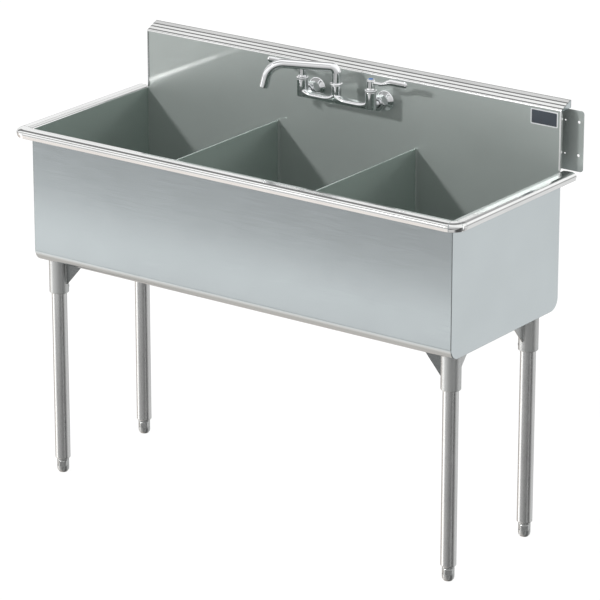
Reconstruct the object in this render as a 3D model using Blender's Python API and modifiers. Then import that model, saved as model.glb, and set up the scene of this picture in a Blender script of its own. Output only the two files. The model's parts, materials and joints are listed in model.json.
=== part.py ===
"""Three compartment sink with a splash-mounted faucet.

Metres, +Z up. The origin is on the floor under the middle of the whole object: X runs along the
sink, -Y is its open front and +Y is the wall behind it. Each piece is its own named object.
"""

import math

import bmesh
import bpy
from mathutils import Matrix, Vector

# ---- Driving dimensions -------------------------------------------------------------------
SHEET = 0.0015  # stainless sheet
GAP = 0.0003  # air between two pieces that touch on the real sink

TUB_WIDTH = 1.240
TUB_BOTTOM = 0.569
RIM_TOP = 0.914
FRONT_FACE = -0.231  # outside of the front wall
SPLASH_FACE = 0.227  # inside of the back wall, and the face of the backsplash above it
WALL_PLANE = 0.269  # the wall that the backsplash and the bracket stand against
BEND_RADIUS = 0.030  # outside radius of the front and rear bottom bends

RIM_REACH = 0.038  # from the tub's outer face out to the rolled edge
RIM_DROP = 0.020
RIM_ROLL = 0.008
RIM_LIP = 0.008
RIM_INNER_BEND = 0.004
RIM_BEND_STEPS = 3
SIDE_RIM_END = 0.237  # the side rims run just past the backsplash

SPLASH_TOP = 1.059  # where the straight face ends
SPLASH_SLOPE_RISE = 0.0175
SPLASH_LIP = 0.020
SPLASH_END_RETURN = 0.006

DIVIDER_THICKNESS = 0.004
DIVIDER_BELOW_RIM = 0.018

LEG_X = 0.587
LEG_FRONT_Y = -0.1795
LEG_REAR_Y = 0.1525
LEG_RADIUS = 0.019
LEG_WALL = 0.0016
LEG_BOTTOM = 0.0376
SOCKET_RADIUS = 0.0243
SOCKET_BOTTOM = 0.4816
SOCKET_CAP = 0.006
GUSSET_REACH = 0.074
GUSSET_HEIGHT = 0.062
GUSSET_THICKNESS = 0.003
FOOT_RADIUS = 0.0150
FOOT_TOP = 0.045
FOOT_STEM_RADIUS = 0.006
FOOT_STEM_TOP = 0.105
INSERT_BOTTOM = 0.062
INSERT_TOP = 0.082
SET_SCREW_RADIUS = 0.003

DRAIN_Y = -0.002
DRAIN_FLANGE_RADIUS = 0.057
DRAIN_THROAT_RADIUS = 0.0425
DRAIN_WALL = 0.002
DRAIN_DEPTH = 0.032
TAILPIECE_RADIUS = 0.019
TAILPIECE_BOTTOM = 0.497

FAUCET_X = 0.0142
FAUCET_Y = SPLASH_FACE - 0.062  # the line of the valves and the spout's post
VALVE_SPACING = 0.2032  # 8 inch centres
WATERWAY_Z = 1.001
VALVE_BOTTOM = 0.993
VALVE_TOP = 1.038
VALVE_RADIUS = 0.014
POST_RADIUS = 0.012
ARM_DEPTH = 0.024
ARM_LOW = 0.0135  # height of an arm at its middle, and where it meets a valve
ARM_HIGH = 0.027
INLET_RADIUS = 0.0095
INLET_END = SPLASH_FACE - 0.0215
SHANK_RADIUS = 0.0105
SHANK_WALL = 0.003
UNION_NUT_RADIUS = 0.0205  # across its corners
UNION_NUT_FRONT = SPLASH_FACE - 0.036
UNION_NUT_LENGTH = 0.023
LOCK_NUT_RADIUS = 0.019
LOCK_NUT_LENGTH = 0.007
HUB_RADIUS = 0.0103
HUB_TOP = 1.0675
LEVER_LENGTH = 0.106
LEVER_Z = 1.0605
LEVER_RISE = 0.0095
STEM_RADIUS = 0.004
SPOUT_RADIUS = 0.0115
SPOUT_AXIS_Z = 1.0822
SPOUT_REACH = 0.183
SPOUT_TIP_Z = 1.0185
SPOUT_ELBOW = 0.014
SPOUT_BEND = 0.050
SPOUT_TURN_DOWN = 77  # degrees that the end bends down from level
SPOUT_SWING = math.radians(69.5)  # rest position, to the left of straight ahead
NOZZLE_LENGTH = 0.014
ESCUTCHEON_RADIUS = 0.0255
ESCUTCHEON_DEPTH = 0.0102

BRACKET_RIGHT = 0.656
BRACKET_BOTTOM = 0.906
BRACKET_TOP = 1.056
BRACKET_CORNER = 0.008
BRACKET_FOOT = (0.515, 0.545)  # from the foot's free edge to the web
BRACKET_HOLES = ((0.6425, 0.0036), (0.6050, 0.0026))  # (x, radius) of each upright pair
BRACKET_HOLE_HEIGHTS = (0.946, 1.028)

ROUND_STEPS = 20
ALONG_Y = (math.pi / 2, 0, 0)  # turns a piece's own +Z to point at -Y, out of the front
BACKWARD = (-math.pi / 2, 0, 0)  # turns it to point at +Y, to the wall

# ---- Places worked out from them ----------------------------------------------------------
HALF_WIDTH = TUB_WIDTH / 2
INNER_END = HALF_WIDTH - SHEET  # inside of each end panel
WRAP_END = INNER_END - GAP
INNER_FRONT = FRONT_FACE + SHEET
FLOOR_TOP = TUB_BOTTOM + SHEET
INNER_BEND = BEND_RADIUS - SHEET
BACK_OUTSIDE = SPLASH_FACE + SHEET
COMPARTMENT_WIDTH = TUB_WIDTH / 3
COMPARTMENT_CENTRES = (-COMPARTMENT_WIDTH, 0.0, COMPARTMENT_WIDTH)
COMPARTMENT_NAMES = ("left", "centre", "right")
LEG_PLACES = {
    "front_left": (-LEG_X, LEG_FRONT_Y),
    "front_right": (LEG_X, LEG_FRONT_Y),
    "rear_left": (-LEG_X, LEG_REAR_Y),
    "rear_right": (LEG_X, LEG_REAR_Y),
}
HOT_X = FAUCET_X - VALVE_SPACING / 2
COLD_X = FAUCET_X + VALVE_SPACING / 2

STEEL = ("brushed_steel", (0.66, 0.68, 0.68), 0.32, 1.0)
POLISHED = ("polished_edge", (0.80, 0.81, 0.81), 0.18, 1.0)
TUBE_STEEL = ("tube_steel", (0.62, 0.63, 0.63), 0.28, 1.0)
CHROME = ("chrome", (0.86, 0.87, 0.88), 0.05, 1.0)
DARK_RUBBER = ("dark_rubber", (0.03, 0.03, 0.03), 0.75, 0.0)
INSERT_PLASTIC = ("insert_plastic", (0.12, 0.12, 0.13), 0.55, 0.0)
LABEL = ("label_film", (0.10, 0.12, 0.15), 0.40, 0.0)
BLUE_INDEX = ("blue_index", (0.05, 0.20, 0.55), 0.30, 0.0)
RED_INDEX = ("red_index", (0.55, 0.04, 0.04), 0.30, 0.0)


# ---- Scene and materials ------------------------------------------------------------------
def clear_scene():
    for obj in list(bpy.data.objects):
        bpy.data.objects.remove(obj, do_unlink=True)


def make_collection(name):
    collection = bpy.data.collections.new(name)
    bpy.context.scene.collection.children.link(collection)
    return collection


def material(finish):
    name, colour, roughness, metallic = finish
    made = bpy.data.materials.get(name)
    if made is None:
        made = bpy.data.materials.new(name)
        made.use_nodes = True
        shader = made.node_tree.nodes["Principled BSDF"]
        shader.inputs["Base Color"].default_value = (*colour, 1.0)
        shader.inputs["Roughness"].default_value = roughness
        shader.inputs["Metallic"].default_value = metallic
    return made


clear_scene()
PARTS = make_collection("three_compartment_sink")
CUTTERS = make_collection("cutters")
CUTTERS.hide_render = True


# ---- Shape helpers ------------------------------------------------------------------------
def add_object(name, data, finish, location=(0, 0, 0), rotation=(0, 0, 0)):
    obj = bpy.data.objects.new(name, data)
    PARTS.objects.link(obj)
    obj.location = location
    obj.rotation_euler = rotation
    data.materials.append(material(finish))
    return obj


def mesh_from(bm, name):
    mesh = bpy.data.meshes.new(name)
    bm.to_mesh(mesh)
    bm.free()
    return mesh


def shade(mesh, angle=35):
    mesh.shade_smooth()
    mesh.set_sharp_from_angle(angle=math.radians(angle))


def arc(centre, radius, start, end, steps=6):
    """Points along an arc; the angles are degrees, and both ends are included."""
    points = []
    for i in range(steps + 1):
        angle = math.radians(start + (end - start) * i / steps)
        points.append((centre[0] + radius * math.cos(angle), centre[1] + radius * math.sin(angle)))
    return points


def solidify(obj, thickness, offset):
    modifier = obj.modifiers.new("sheet thickness", "SOLIDIFY")
    modifier.thickness = thickness
    modifier.offset = offset
    modifier.use_even_offset = True
    modifier.use_quality_normals = True


def turned(name, profile, finish, location=(0, 0, 0), rotation=(0, 0, 0), steps=ROUND_STEPS, ring=True):
    """A profile of (radius, height) points turned about Z. The outer side runs from top to bottom."""
    bm = bmesh.new()
    points = [bm.verts.new((radius, 0, height)) for radius, height in profile]
    for first, second in zip(points, points[1:]):
        bm.edges.new((first, second))
    if ring:
        bm.edges.new((points[-1], points[0]))
    obj = add_object(name, mesh_from(bm, name), finish, location, rotation)
    screw = obj.modifiers.new("turn", "SCREW")
    screw.axis = "Z"
    screw.steps = steps
    screw.render_steps = steps
    screw.use_merge_vertices = True
    screw.merge_threshold = 0.00001
    screw.use_smooth_shade = True
    return obj


def cylinder(name, radius, length, finish, location, rotation=(0, 0, 0), segments=ROUND_STEPS):
    bm = bmesh.new()
    bmesh.ops.create_cone(
        bm, cap_ends=True, segments=segments, radius1=radius, radius2=radius, depth=length
    )
    return add_object(name, mesh_from(bm, name), finish, location, rotation)


def box(name, low, high, finish):
    low, high = Vector(low), Vector(high)
    bm = bmesh.new()
    bmesh.ops.create_cube(bm, size=1)
    bmesh.ops.scale(bm, vec=high - low, verts=bm.verts)
    return add_object(name, mesh_from(bm, name), finish, (low + high) / 2)


def as_cutter(obj):
    PARTS.objects.unlink(obj)
    CUTTERS.objects.link(obj)
    obj.hide_render = True
    obj.display_type = "WIRE"
    return obj


def combine(obj, others, operation):
    for other in others:
        as_cutter(other)
        modifier = obj.modifiers.new(f"{operation.lower()} {other.name}", "BOOLEAN")
        modifier.operation = operation
        modifier.solver = "EXACT"
        modifier.object = other
    return obj


def plate(name, outline, thickness, finish, plane, centre):
    """A flat piece of the given outline. The plane names the two axes that the outline lies in."""
    curve = bpy.data.curves.new(name, "CURVE")
    curve.dimensions = "2D"
    curve.fill_mode = "BOTH"
    curve.extrude = thickness / 2
    spline = curve.splines.new("POLY")
    spline.points.add(len(outline) - 1)
    spline.use_cyclic_u = True
    for point, (a, b) in zip(spline.points, outline):
        point.co = (a, b, 0, 1)
    guide = add_object(name + "_outline", curve, finish)
    turn = {
        "XZ": Matrix(((1, 0, 0), (0, 0, -1), (0, 1, 0))),
        "YZ": Matrix(((0, 0, 1), (1, 0, 0), (0, 1, 0))),
    }[plane]
    guide.matrix_world = Matrix.Translation(centre) @ turn.to_4x4()
    return curve_to_mesh(guide, name)


def curve_to_mesh(guide, name):
    """A closed mesh object in place of a curve, with the loose caps welded on."""
    bpy.context.view_layer.update()
    graph = bpy.context.evaluated_depsgraph_get()
    mesh = bpy.data.meshes.new_from_object(guide.evaluated_get(graph))
    mesh.name = name
    bm = bmesh.new()
    bm.from_mesh(mesh)
    bmesh.ops.remove_doubles(bm, verts=bm.verts, dist=0.000001)
    bmesh.ops.recalc_face_normals(bm, faces=bm.faces)
    bm.to_mesh(mesh)
    bm.free()
    obj = bpy.data.objects.new(name, mesh)
    PARTS.objects.link(obj)
    obj.matrix_world = guide.matrix_world.copy()
    bpy.data.objects.remove(guide, do_unlink=True)
    return obj


def tube(name, points, radius, finish, location=(0, 0, 0), rotation=(0, 0, 0)):
    curve = bpy.data.curves.new(name, "CURVE")
    curve.dimensions = "3D"
    curve.bevel_depth = radius
    curve.bevel_resolution = 3
    curve.use_fill_caps = True
    spline = curve.splines.new("POLY")
    spline.points.add(len(points) - 1)
    for point, place in zip(spline.points, points):
        point.co = (*place, 1)
    guide = add_object(name + "_path", curve, finish, location, rotation)
    return curve_to_mesh(guide, name)


# ---- Tub ----------------------------------------------------------------------------------
def rim_profile():
    """(distance out from the inner face, height) from the tub's wall out to the lip's free edge."""
    outer = RIM_REACH + SHEET
    points = arc((RIM_INNER_BEND, RIM_TOP - RIM_INNER_BEND), RIM_INNER_BEND, 180, 90, RIM_BEND_STEPS)
    points += arc((outer - RIM_ROLL, RIM_TOP - RIM_ROLL), RIM_ROLL, 90, 0, 5)
    lip_bend = 0.003
    points += arc((outer - lip_bend, RIM_TOP - RIM_DROP + lip_bend), lip_bend, 0, -90, 2)
    points.append((outer - RIM_LIP, RIM_TOP - RIM_DROP))
    return points


def splash_profile():
    """(y, z) from the back wall up over the sloped return and down to the lip at the wall."""
    bend = 0.006
    depth = WALL_PLANE - SPLASH_FACE
    slope = math.radians(30)
    points = arc((SPLASH_FACE + bend, SPLASH_TOP), bend, 180, 120, 3)
    start = points[-1]
    rise = SPLASH_SLOPE_RISE - bend * math.sin(slope)
    run = rise / math.tan(slope)
    crest = (start[0] + run, start[1] + rise)
    points += arc(
        (crest[0] + bend * math.sin(slope), crest[1] - bend * math.cos(slope)), bend, 120, 90, 2
    )
    corner = 0.003
    top = points[-1][1]
    points += arc((SPLASH_FACE + depth - corner, top - corner), corner, 90, 0, 3)
    points.append((WALL_PLANE, top - SPLASH_LIP))
    return points


def wrap_profile():
    """(y, z) of the one bent sheet: front rim, front wall, floor, back wall and backsplash."""
    points = [(INNER_FRONT - out, height) for out, height in reversed(rim_profile())]
    low = FLOOR_TOP + INNER_BEND
    points += arc((INNER_FRONT + INNER_BEND, low), INNER_BEND, 180, 270, 6)
    points += arc((SPLASH_FACE - INNER_BEND, low), INNER_BEND, 270, 360, 6)
    return points + splash_profile()


def add_tub_wrap():
    bm = bmesh.new()
    columns = (-WRAP_END, -COMPARTMENT_WIDTH / 2, COMPARTMENT_WIDTH / 2, WRAP_END)
    rows = [[bm.verts.new((x, y, z)) for x in columns] for y, z in wrap_profile()]
    for lower, upper in zip(rows, rows[1:]):
        for i in range(len(columns) - 1):
            bm.faces.new((lower[i], upper[i], upper[i + 1], lower[i + 1]))
    mesh = mesh_from(bm, "tub_wrap")
    shade(mesh)
    wrap = add_object("tub_wrap", mesh, STEEL)
    solidify(wrap, SHEET, 1)
    returns = []
    for left_edge in (-WRAP_END, WRAP_END - SHEET):
        low = (left_edge, SPLASH_FACE + SHEET / 2, RIM_TOP + 0.001)
        high = (left_edge + SHEET, BACK_OUTSIDE + SPLASH_END_RETURN, SPLASH_TOP - 0.004)
        returns.append(box("splash_return", low, high, STEEL))
    combine(wrap, returns, "UNION")
    drain_hole = DRAIN_THROAT_RADIUS + DRAIN_WALL + GAP
    inlet_hole = SHANK_RADIUS + 0.002
    through = 0.02
    holes = []
    for x in COMPARTMENT_CENTRES:
        place = (x, DRAIN_Y, TUB_BOTTOM)
        holes.append(cylinder("drain_hole", drain_hole, through, STEEL, place, segments=32))
    for x in (HOT_X, COLD_X):
        place = (x, SPLASH_FACE, WATERWAY_Z)
        holes.append(cylinder("inlet_hole", inlet_hole, through, STEEL, place, ALONG_Y))
    combine(wrap, holes, "DIFFERENCE")


def panel_bottom(rim_start):
    """(y, lowest z) along the panel's rounded bottom edge, with one more where the side rim starts."""
    centre_z = TUB_BOTTOM + BEND_RADIUS
    front = arc((FRONT_FACE + BEND_RADIUS, centre_z), BEND_RADIUS, 180, 270, 6)
    rear = arc((BACK_OUTSIDE - BEND_RADIUS, centre_z), BEND_RADIUS, 270, 360, 6)
    reach = BEND_RADIUS - (rim_start - FRONT_FACE)
    start_low = centre_z - math.sqrt(BEND_RADIUS**2 - reach**2)
    behind_it = [(y, z) for y, z in front if y > rim_start]
    return [front[0], (rim_start, start_low)] + behind_it + rear


def add_end_panel(name, side):
    """A flat end with the outline of the bent sheet, whose top edge is rolled out into the side rim."""
    bm = bmesh.new()
    rim = rim_profile()
    rim_start = INNER_FRONT + GAP
    bottom = panel_bottom(rim_start)
    columns = []
    for y in [y for y, _ in bottom[1:]] + [SIDE_RIM_END]:
        columns.append([bm.verts.new((side * (INNER_END + out), y, height)) for out, height in rim])
    for first, second in zip(columns, columns[1:]):
        for i in range(len(rim) - 1):
            bm.faces.new((first[i], first[i + 1], second[i + 1], second[i]))
    tops = [bm.verts.new((side * INNER_END, FRONT_FACE, rim[0][1]))]
    tops += [column[0] for column in columns]
    lows = [bm.verts.new((side * INNER_END, y, z)) for y, z in bottom]
    for i in range(len(bottom) - 1):
        bm.faces.new((tops[i], tops[i + 1], lows[i + 1], lows[i]))
    bmesh.ops.recalc_face_normals(bm, faces=bm.faces)
    bm.faces.ensure_lookup_table()
    if bm.faces[-1].normal.x * side > 0:
        bmesh.ops.reverse_faces(bm, faces=bm.faces)
    mesh = mesh_from(bm, name)
    shade(mesh)
    solidify(add_object(name, mesh, STEEL), SHEET, -1)


def add_rim_corner(name, side):
    """A quarter turn of the rolled rim, from the front rim round to the side rim."""
    bm = bmesh.new()
    profile = rim_profile()[RIM_BEND_STEPS:]
    steps = 6
    rows = []
    for i in range(steps + 1):
        angle = -math.pi / 2 * i / steps
        ring = []
        for out, height in profile:
            x = INNER_END + out * math.cos(angle)
            y = INNER_FRONT + out * math.sin(angle)
            ring.append(bm.verts.new((side * x, y, height)))
        rows.append(ring)
    for first, second in zip(rows, rows[1:]):
        for i in range(len(profile) - 1):
            corners = (first[i], first[i + 1], second[i + 1], second[i])
            bm.faces.new(corners if side < 0 else corners[::-1])
    mesh = mesh_from(bm, name)
    shade(mesh)
    solidify(add_object(name, mesh, POLISHED), SHEET, -1)


def add_divider(name, x):
    """The wall between two compartments, with a rounded top edge and the wrap's bends at its foot."""
    front = INNER_FRONT + GAP
    back = SPLASH_FACE - GAP
    centre_z = FLOOR_TOP + GAP + INNER_BEND
    outline = [(front, RIM_TOP - DIVIDER_BELOW_RIM)]
    outline += arc((front + INNER_BEND, centre_z), INNER_BEND, 180, 270, 6)
    outline += arc((back - INNER_BEND, centre_z), INNER_BEND, 270, 360, 6)
    outline.append((back, RIM_TOP - DIVIDER_BELOW_RIM))
    plate(name, outline, DIVIDER_THICKNESS, STEEL, "YZ", (x, 0, 0))


def add_tub():
    add_tub_wrap()
    for word, side in (("left", -1), ("right", 1)):
        add_end_panel(f"end_panel_{word}", side)
        add_rim_corner(f"rim_corner_{word}", side)
        add_divider(f"divider_{word}", side * COMPARTMENT_WIDTH / 2)


# ---- Backsplash fittings ------------------------------------------------------------------
def add_blank_label():
    width, height, thickness = 0.076, 0.038, 0.0005
    right = WRAP_END - 0.009
    top = SPLASH_TOP - 0.004
    front = SPLASH_FACE - GAP
    box("blank_label", (right - width, front - thickness, top - height), (right, front, top), LABEL)


def add_wall_bracket():
    """A Z-shaped bracket at the right end: a foot on the back of the splash, a web and a wall plate."""
    foot_left, web_x = BRACKET_FOOT
    foot_back = BACK_OUTSIDE + GAP + SHEET
    path = [(foot_left, foot_back), (web_x, foot_back), (web_x, WALL_PLANE)]
    columns = [(x, y, BRACKET_BOTTOM, BRACKET_TOP) for x, y in path]
    for x, rise in arc((BRACKET_RIGHT - BRACKET_CORNER, 0), BRACKET_CORNER, 90, 0, 5):
        cut = BRACKET_CORNER - rise
        columns.append((x, WALL_PLANE, BRACKET_BOTTOM + cut, BRACKET_TOP - cut))
    bm = bmesh.new()
    pairs = [(bm.verts.new((x, y, low)), bm.verts.new((x, y, high))) for x, y, low, high in columns]
    for first, second in zip(pairs, pairs[1:]):
        bm.faces.new((first[0], first[1], second[1], second[0]))
    bracket = add_object("wall_bracket", mesh_from(bm, "wall_bracket"), STEEL)
    solidify(bracket, SHEET, -1)
    holes = []
    for x, radius in BRACKET_HOLES:
        for z in BRACKET_HOLE_HEIGHTS:
            holes.append(cylinder("hole", radius, 0.01, STEEL, (x, WALL_PLANE, z), ALONG_Y, 12))
    combine(bracket, holes, "DIFFERENCE")


# ---- Legs ---------------------------------------------------------------------------------
def add_gusset(name, x, y, direction, along):
    """A triangular wing under the tub, from the socket towards the middle of the sink."""
    top = TUB_BOTTOM - GAP
    root = SOCKET_RADIUS - 0.002
    nose = 0.008
    outline = [
        (direction * root, top),
        (direction * GUSSET_REACH, top),
        (direction * GUSSET_REACH, top - nose),
        (direction * (SOCKET_RADIUS + 0.003), top - GUSSET_HEIGHT),
        (direction * root, top - GUSSET_HEIGHT),
    ]
    return plate(name, outline, GUSSET_THICKNESS, STEEL, along, (x, y, 0))


def add_leg(word, x, y):
    inward_x = -1 if x > 0 else 1
    inward_y = -1 if y > 0 else 1
    top = TUB_BOTTOM - GAP
    bore = LEG_RADIUS + GAP
    socket_profile = [
        (0, top),
        (SOCKET_RADIUS, top),
        (SOCKET_RADIUS, SOCKET_BOTTOM + 0.001),
        (SOCKET_RADIUS - 0.001, SOCKET_BOTTOM),
        (bore, SOCKET_BOTTOM),
        (bore, top - SOCKET_CAP),
        (0, top - SOCKET_CAP),
    ]
    socket = turned(f"leg_socket_{word}", socket_profile, TUBE_STEEL, (x, y, 0), ring=False)
    wings = [
        add_gusset(f"gusset_x_{word}", x, y, inward_x, "XZ"),
        add_gusset(f"gusset_y_{word}", x, y, inward_y, "YZ"),
    ]
    combine(socket, wings, "UNION")
    diagonal = Vector((inward_x, inward_y, 0)).normalized()
    turn = diagonal.to_track_quat("Z", "Y").to_euler()
    middle = Vector((x, y, SOCKET_BOTTOM + 0.014)) + diagonal * (bore + 0.003)
    hole = cylinder(f"set_screw_hole_{word}", SET_SCREW_RADIUS + GAP, 0.012, STEEL, middle, turn, 12)
    combine(socket, [hole], "DIFFERENCE")
    cylinder(f"leg_set_screw_{word}", SET_SCREW_RADIUS, 0.0055, TUBE_STEEL, middle, turn, 12)

    tube_top = top - SOCKET_CAP - GAP
    inner = LEG_RADIUS - LEG_WALL
    leg_profile = [
        (LEG_RADIUS, tube_top),
        (LEG_RADIUS, LEG_BOTTOM + 0.001),
        (LEG_RADIUS - 0.0006, LEG_BOTTOM),
        (inner, LEG_BOTTOM),
        (inner, tube_top),
    ]
    turned(f"leg_{word}", leg_profile, TUBE_STEEL, (x, y, 0))

    stem_hole = FOOT_STEM_RADIUS + GAP
    insert_profile = [
        (inner - GAP, INSERT_TOP),
        (inner - GAP, INSERT_BOTTOM),
        (stem_hole, INSERT_BOTTOM),
        (stem_hole, INSERT_TOP),
    ]
    turned(f"leg_insert_{word}", insert_profile, INSERT_PLASTIC, (x, y, 0), steps=16)

    foot_profile = [
        (0, FOOT_STEM_TOP),
        (FOOT_STEM_RADIUS, FOOT_STEM_TOP),
        (FOOT_STEM_RADIUS, FOOT_TOP),
        (FOOT_RADIUS, FOOT_TOP),
        (FOOT_RADIUS, 0.012),
        (FOOT_RADIUS - 0.0018, 0.003),
        (FOOT_RADIUS - 0.004, 0),
        (0, 0),
    ]
    turned(f"foot_{word}", foot_profile, TUBE_STEEL, (x, y, 0), steps=16, ring=False)


# ---- Drains -------------------------------------------------------------------------------
def add_drain(word, x):
    seat = FLOOR_TOP + GAP
    throat = DRAIN_THROAT_RADIUS
    outside = throat + DRAIN_WALL
    pan = seat - DRAIN_DEPTH
    tail = TAILPIECE_RADIUS
    body_profile = [
        (DRAIN_FLANGE_RADIUS - 0.004, seat + 0.0022),
        (DRAIN_FLANGE_RADIUS, seat),
        (outside, seat),
        (outside, pan),
        (tail + 0.004, pan - 0.010),
        (tail, pan - 0.012),
        (tail, TAILPIECE_BOTTOM),
        (tail - 0.0012, TAILPIECE_BOTTOM),
        (tail - 0.0012, pan - 0.009),
        (throat - 0.003, pan + 0.002),
        (throat, pan + 0.005),
        (throat, seat - 0.004),
        (throat + 0.005, seat + 0.0022),
    ]
    turned(f"drain_body_{word}", body_profile, STEEL, (x, DRAIN_Y, 0))

    under = TUB_BOTTOM - GAP
    washer = under - 0.003
    gasket_profile = [
        (outside + 0.009, under),
        (outside + 0.009, washer),
        (outside + GAP, washer),
        (outside + GAP, under),
    ]
    turned(f"drain_gasket_{word}", gasket_profile, DARK_RUBBER, (x, DRAIN_Y, 0))
    nut_top = washer - GAP
    nut_profile = [
        (outside + 0.0085, nut_top),
        (outside + 0.0085, nut_top - 0.010),
        (outside + 0.0070, nut_top - 0.012),
        (outside + GAP, nut_top - 0.012),
        (outside + GAP, nut_top),
    ]
    turned(f"drain_nut_{word}", nut_profile, STEEL, (x, DRAIN_Y, 0))

    plate_z = pan + 0.0073
    strainer_profile = [
        (0, plate_z + 0.018),
        (0.006, plate_z + 0.017),
        (0.008, plate_z + 0.014),
        (0.006, plate_z + 0.011),
        (0.004, plate_z + 0.009),
        (0.004, plate_z + 0.0022),
        (throat - 0.003, plate_z + 0.0022),
        (throat - 0.0015, plate_z + 0.0012),
        (throat - 0.0015, plate_z),
        (0, plate_z),
    ]
    strainer = turned(f"strainer_{word}", strainer_profile, STEEL, (x, DRAIN_Y, 0), ring=False)
    holes = []
    for ring_radius, count in ((0.018, 6), (0.031, 12)):
        for i in range(count):
            angle = 2 * math.pi * i / count
            place = (
                x + ring_radius * math.cos(angle),
                DRAIN_Y + ring_radius * math.sin(angle),
                plate_z,
            )
            holes.append(cylinder("strainer_hole", 0.0026, 0.008, STEEL, place, segments=5))
    combine(strainer, [join_meshes(holes, f"strainer_holes_{word}")], "DIFFERENCE")


def join_meshes(objects, name):
    """One object made of separate closed pieces, such as a set of drills."""
    bpy.context.view_layer.update()
    bm = bmesh.new()
    for obj in objects:
        obj.data.transform(obj.matrix_world)
        bm.from_mesh(obj.data)
        bpy.data.objects.remove(obj, do_unlink=True)
    return add_object(name, mesh_from(bm, name), STEEL)


# ---- Faucet -------------------------------------------------------------------------------
def arm_outline():
    """Front view of the two arms: a flat bottom, and a top that dips between the post and each valve."""
    bottom = VALVE_BOTTOM + 0.0005
    steps = 8
    top = []
    for left, right in ((HOT_X, FAUCET_X), (FAUCET_X, COLD_X)):
        for i in range(1, steps):
            along = i / steps
            rise = (ARM_HIGH - ARM_LOW) * abs(2 * along - 1) ** 4
            top.append((left + (right - left) * along, bottom + ARM_LOW + rise))
    return [(HOT_X, bottom), (COLD_X, bottom)] + top[::-1]


def add_faucet_body():
    """One casting: two valve bodies and the spout's post, joined by arms, with an inlet behind each."""
    height = VALVE_TOP - VALVE_BOTTOM
    middle = (VALVE_TOP + VALVE_BOTTOM) / 2
    body = cylinder("faucet_body", POST_RADIUS, height, CHROME, (FAUCET_X, FAUCET_Y, middle))
    others = [plate("arms", arm_outline(), ARM_DEPTH, CHROME, "XZ", (0, FAUCET_Y, 0))]
    for x in (HOT_X, COLD_X):
        others.append(cylinder("valve", VALVE_RADIUS, height, CHROME, (x, FAUCET_Y, middle)))
        place = (x, (FAUCET_Y + INLET_END) / 2, WATERWAY_Z)
        others.append(cylinder("inlet", INLET_RADIUS, INLET_END - FAUCET_Y, CHROME, place, ALONG_Y))
    combine(body, others, "UNION")


def add_nut(name, radius, front, length, x, finish):
    """A hexagon nut on the shank, from its front face back towards the wall."""
    place = (x, front + length / 2, WATERWAY_Z)
    nut = cylinder(name, radius, length, finish, place, ALONG_Y, 6)
    bore = cylinder(f"{name}_bore", SHANK_RADIUS + GAP, length * 2, finish, place, ALONG_Y)
    combine(nut, [bore], "DIFFERENCE")


def add_inlet_fittings(word, x):
    """From the body to the wall: union nut, threaded shank, escutcheon and the lock nut behind."""
    shank_front = INLET_END + 0.001
    length = WALL_PLANE - 0.004 - shank_front
    bore = SHANK_RADIUS - SHANK_WALL
    shank_profile = [(SHANK_RADIUS, length), (SHANK_RADIUS, 0), (bore, 0), (bore, length)]
    turned(f"{word}_shank", shank_profile, CHROME, (x, shank_front, WATERWAY_Z), BACKWARD)

    inner = SHANK_RADIUS + GAP
    plate_profile = [
        (ESCUTCHEON_RADIUS, ESCUTCHEON_DEPTH),
        (ESCUTCHEON_RADIUS, ESCUTCHEON_DEPTH - 0.002),
        (ESCUTCHEON_RADIUS - 0.005, 0.0035),
        (SHANK_RADIUS + 0.004, 0),
        (inner, 0),
        (inner, ESCUTCHEON_DEPTH),
    ]
    place = (x, SPLASH_FACE - GAP - ESCUTCHEON_DEPTH, WATERWAY_Z)
    turned(f"{word}_escutcheon", plate_profile, CHROME, place, BACKWARD)
    add_nut(f"{word}_union_nut", UNION_NUT_RADIUS, UNION_NUT_FRONT, UNION_NUT_LENGTH, x, CHROME)
    add_nut(f"{word}_lock_nut", LOCK_NUT_RADIUS, BACK_OUTSIDE + GAP, LOCK_NUT_LENGTH, x, TUBE_STEEL)


def add_handle(word, x, side, index_finish):
    """Bonnet on the valve, wrist-blade lever turning on it, and the coloured index on top."""
    bonnet_bottom = VALVE_TOP + GAP
    bonnet_top = bonnet_bottom + 0.0042
    stem_top = bonnet_top + 0.012
    bonnet_radius = VALVE_RADIUS + 0.0012
    bonnet_profile = [
        (0, stem_top),
        (STEM_RADIUS, stem_top),
        (STEM_RADIUS, bonnet_top),
        (bonnet_radius - 0.001, bonnet_top),
        (bonnet_radius, bonnet_top - 0.001),
        (bonnet_radius, bonnet_bottom + 0.001),
        (bonnet_radius - 0.001, bonnet_bottom),
        (0, bonnet_bottom),
    ]
    turned(f"{word}_bonnet", bonnet_profile, CHROME, (x, FAUCET_Y, 0), ring=False)

    hub_bottom = bonnet_top + GAP
    socket_top = stem_top + 0.0005
    hub_profile = [
        (0, HUB_TOP),
        (HUB_RADIUS - 0.001, HUB_TOP),
        (HUB_RADIUS, HUB_TOP - 0.001),
        (HUB_RADIUS, hub_bottom + 0.004),
        (HUB_RADIUS + 0.0015, hub_bottom),
        (STEM_RADIUS + GAP, hub_bottom),
        (STEM_RADIUS + GAP, socket_top),
        (0, socket_top),
    ]
    lever = turned(f"{word}_lever", hub_profile, CHROME, (x, FAUCET_Y, 0), ring=False)
    blade = plate("blade", blade_outline(side), 0.0045, CHROME, "XZ", (x, FAUCET_Y, LEVER_Z))
    combine(lever, [blade], "UNION")

    index_profile = [(0, 0.0036), (0.0050, 0.0032), (0.0078, 0.0018), (0.0084, 0), (0, 0)]
    place = (x, FAUCET_Y, HUB_TOP + GAP)
    turned(f"{word}_index", index_profile, index_finish, place, ring=False)


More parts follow.
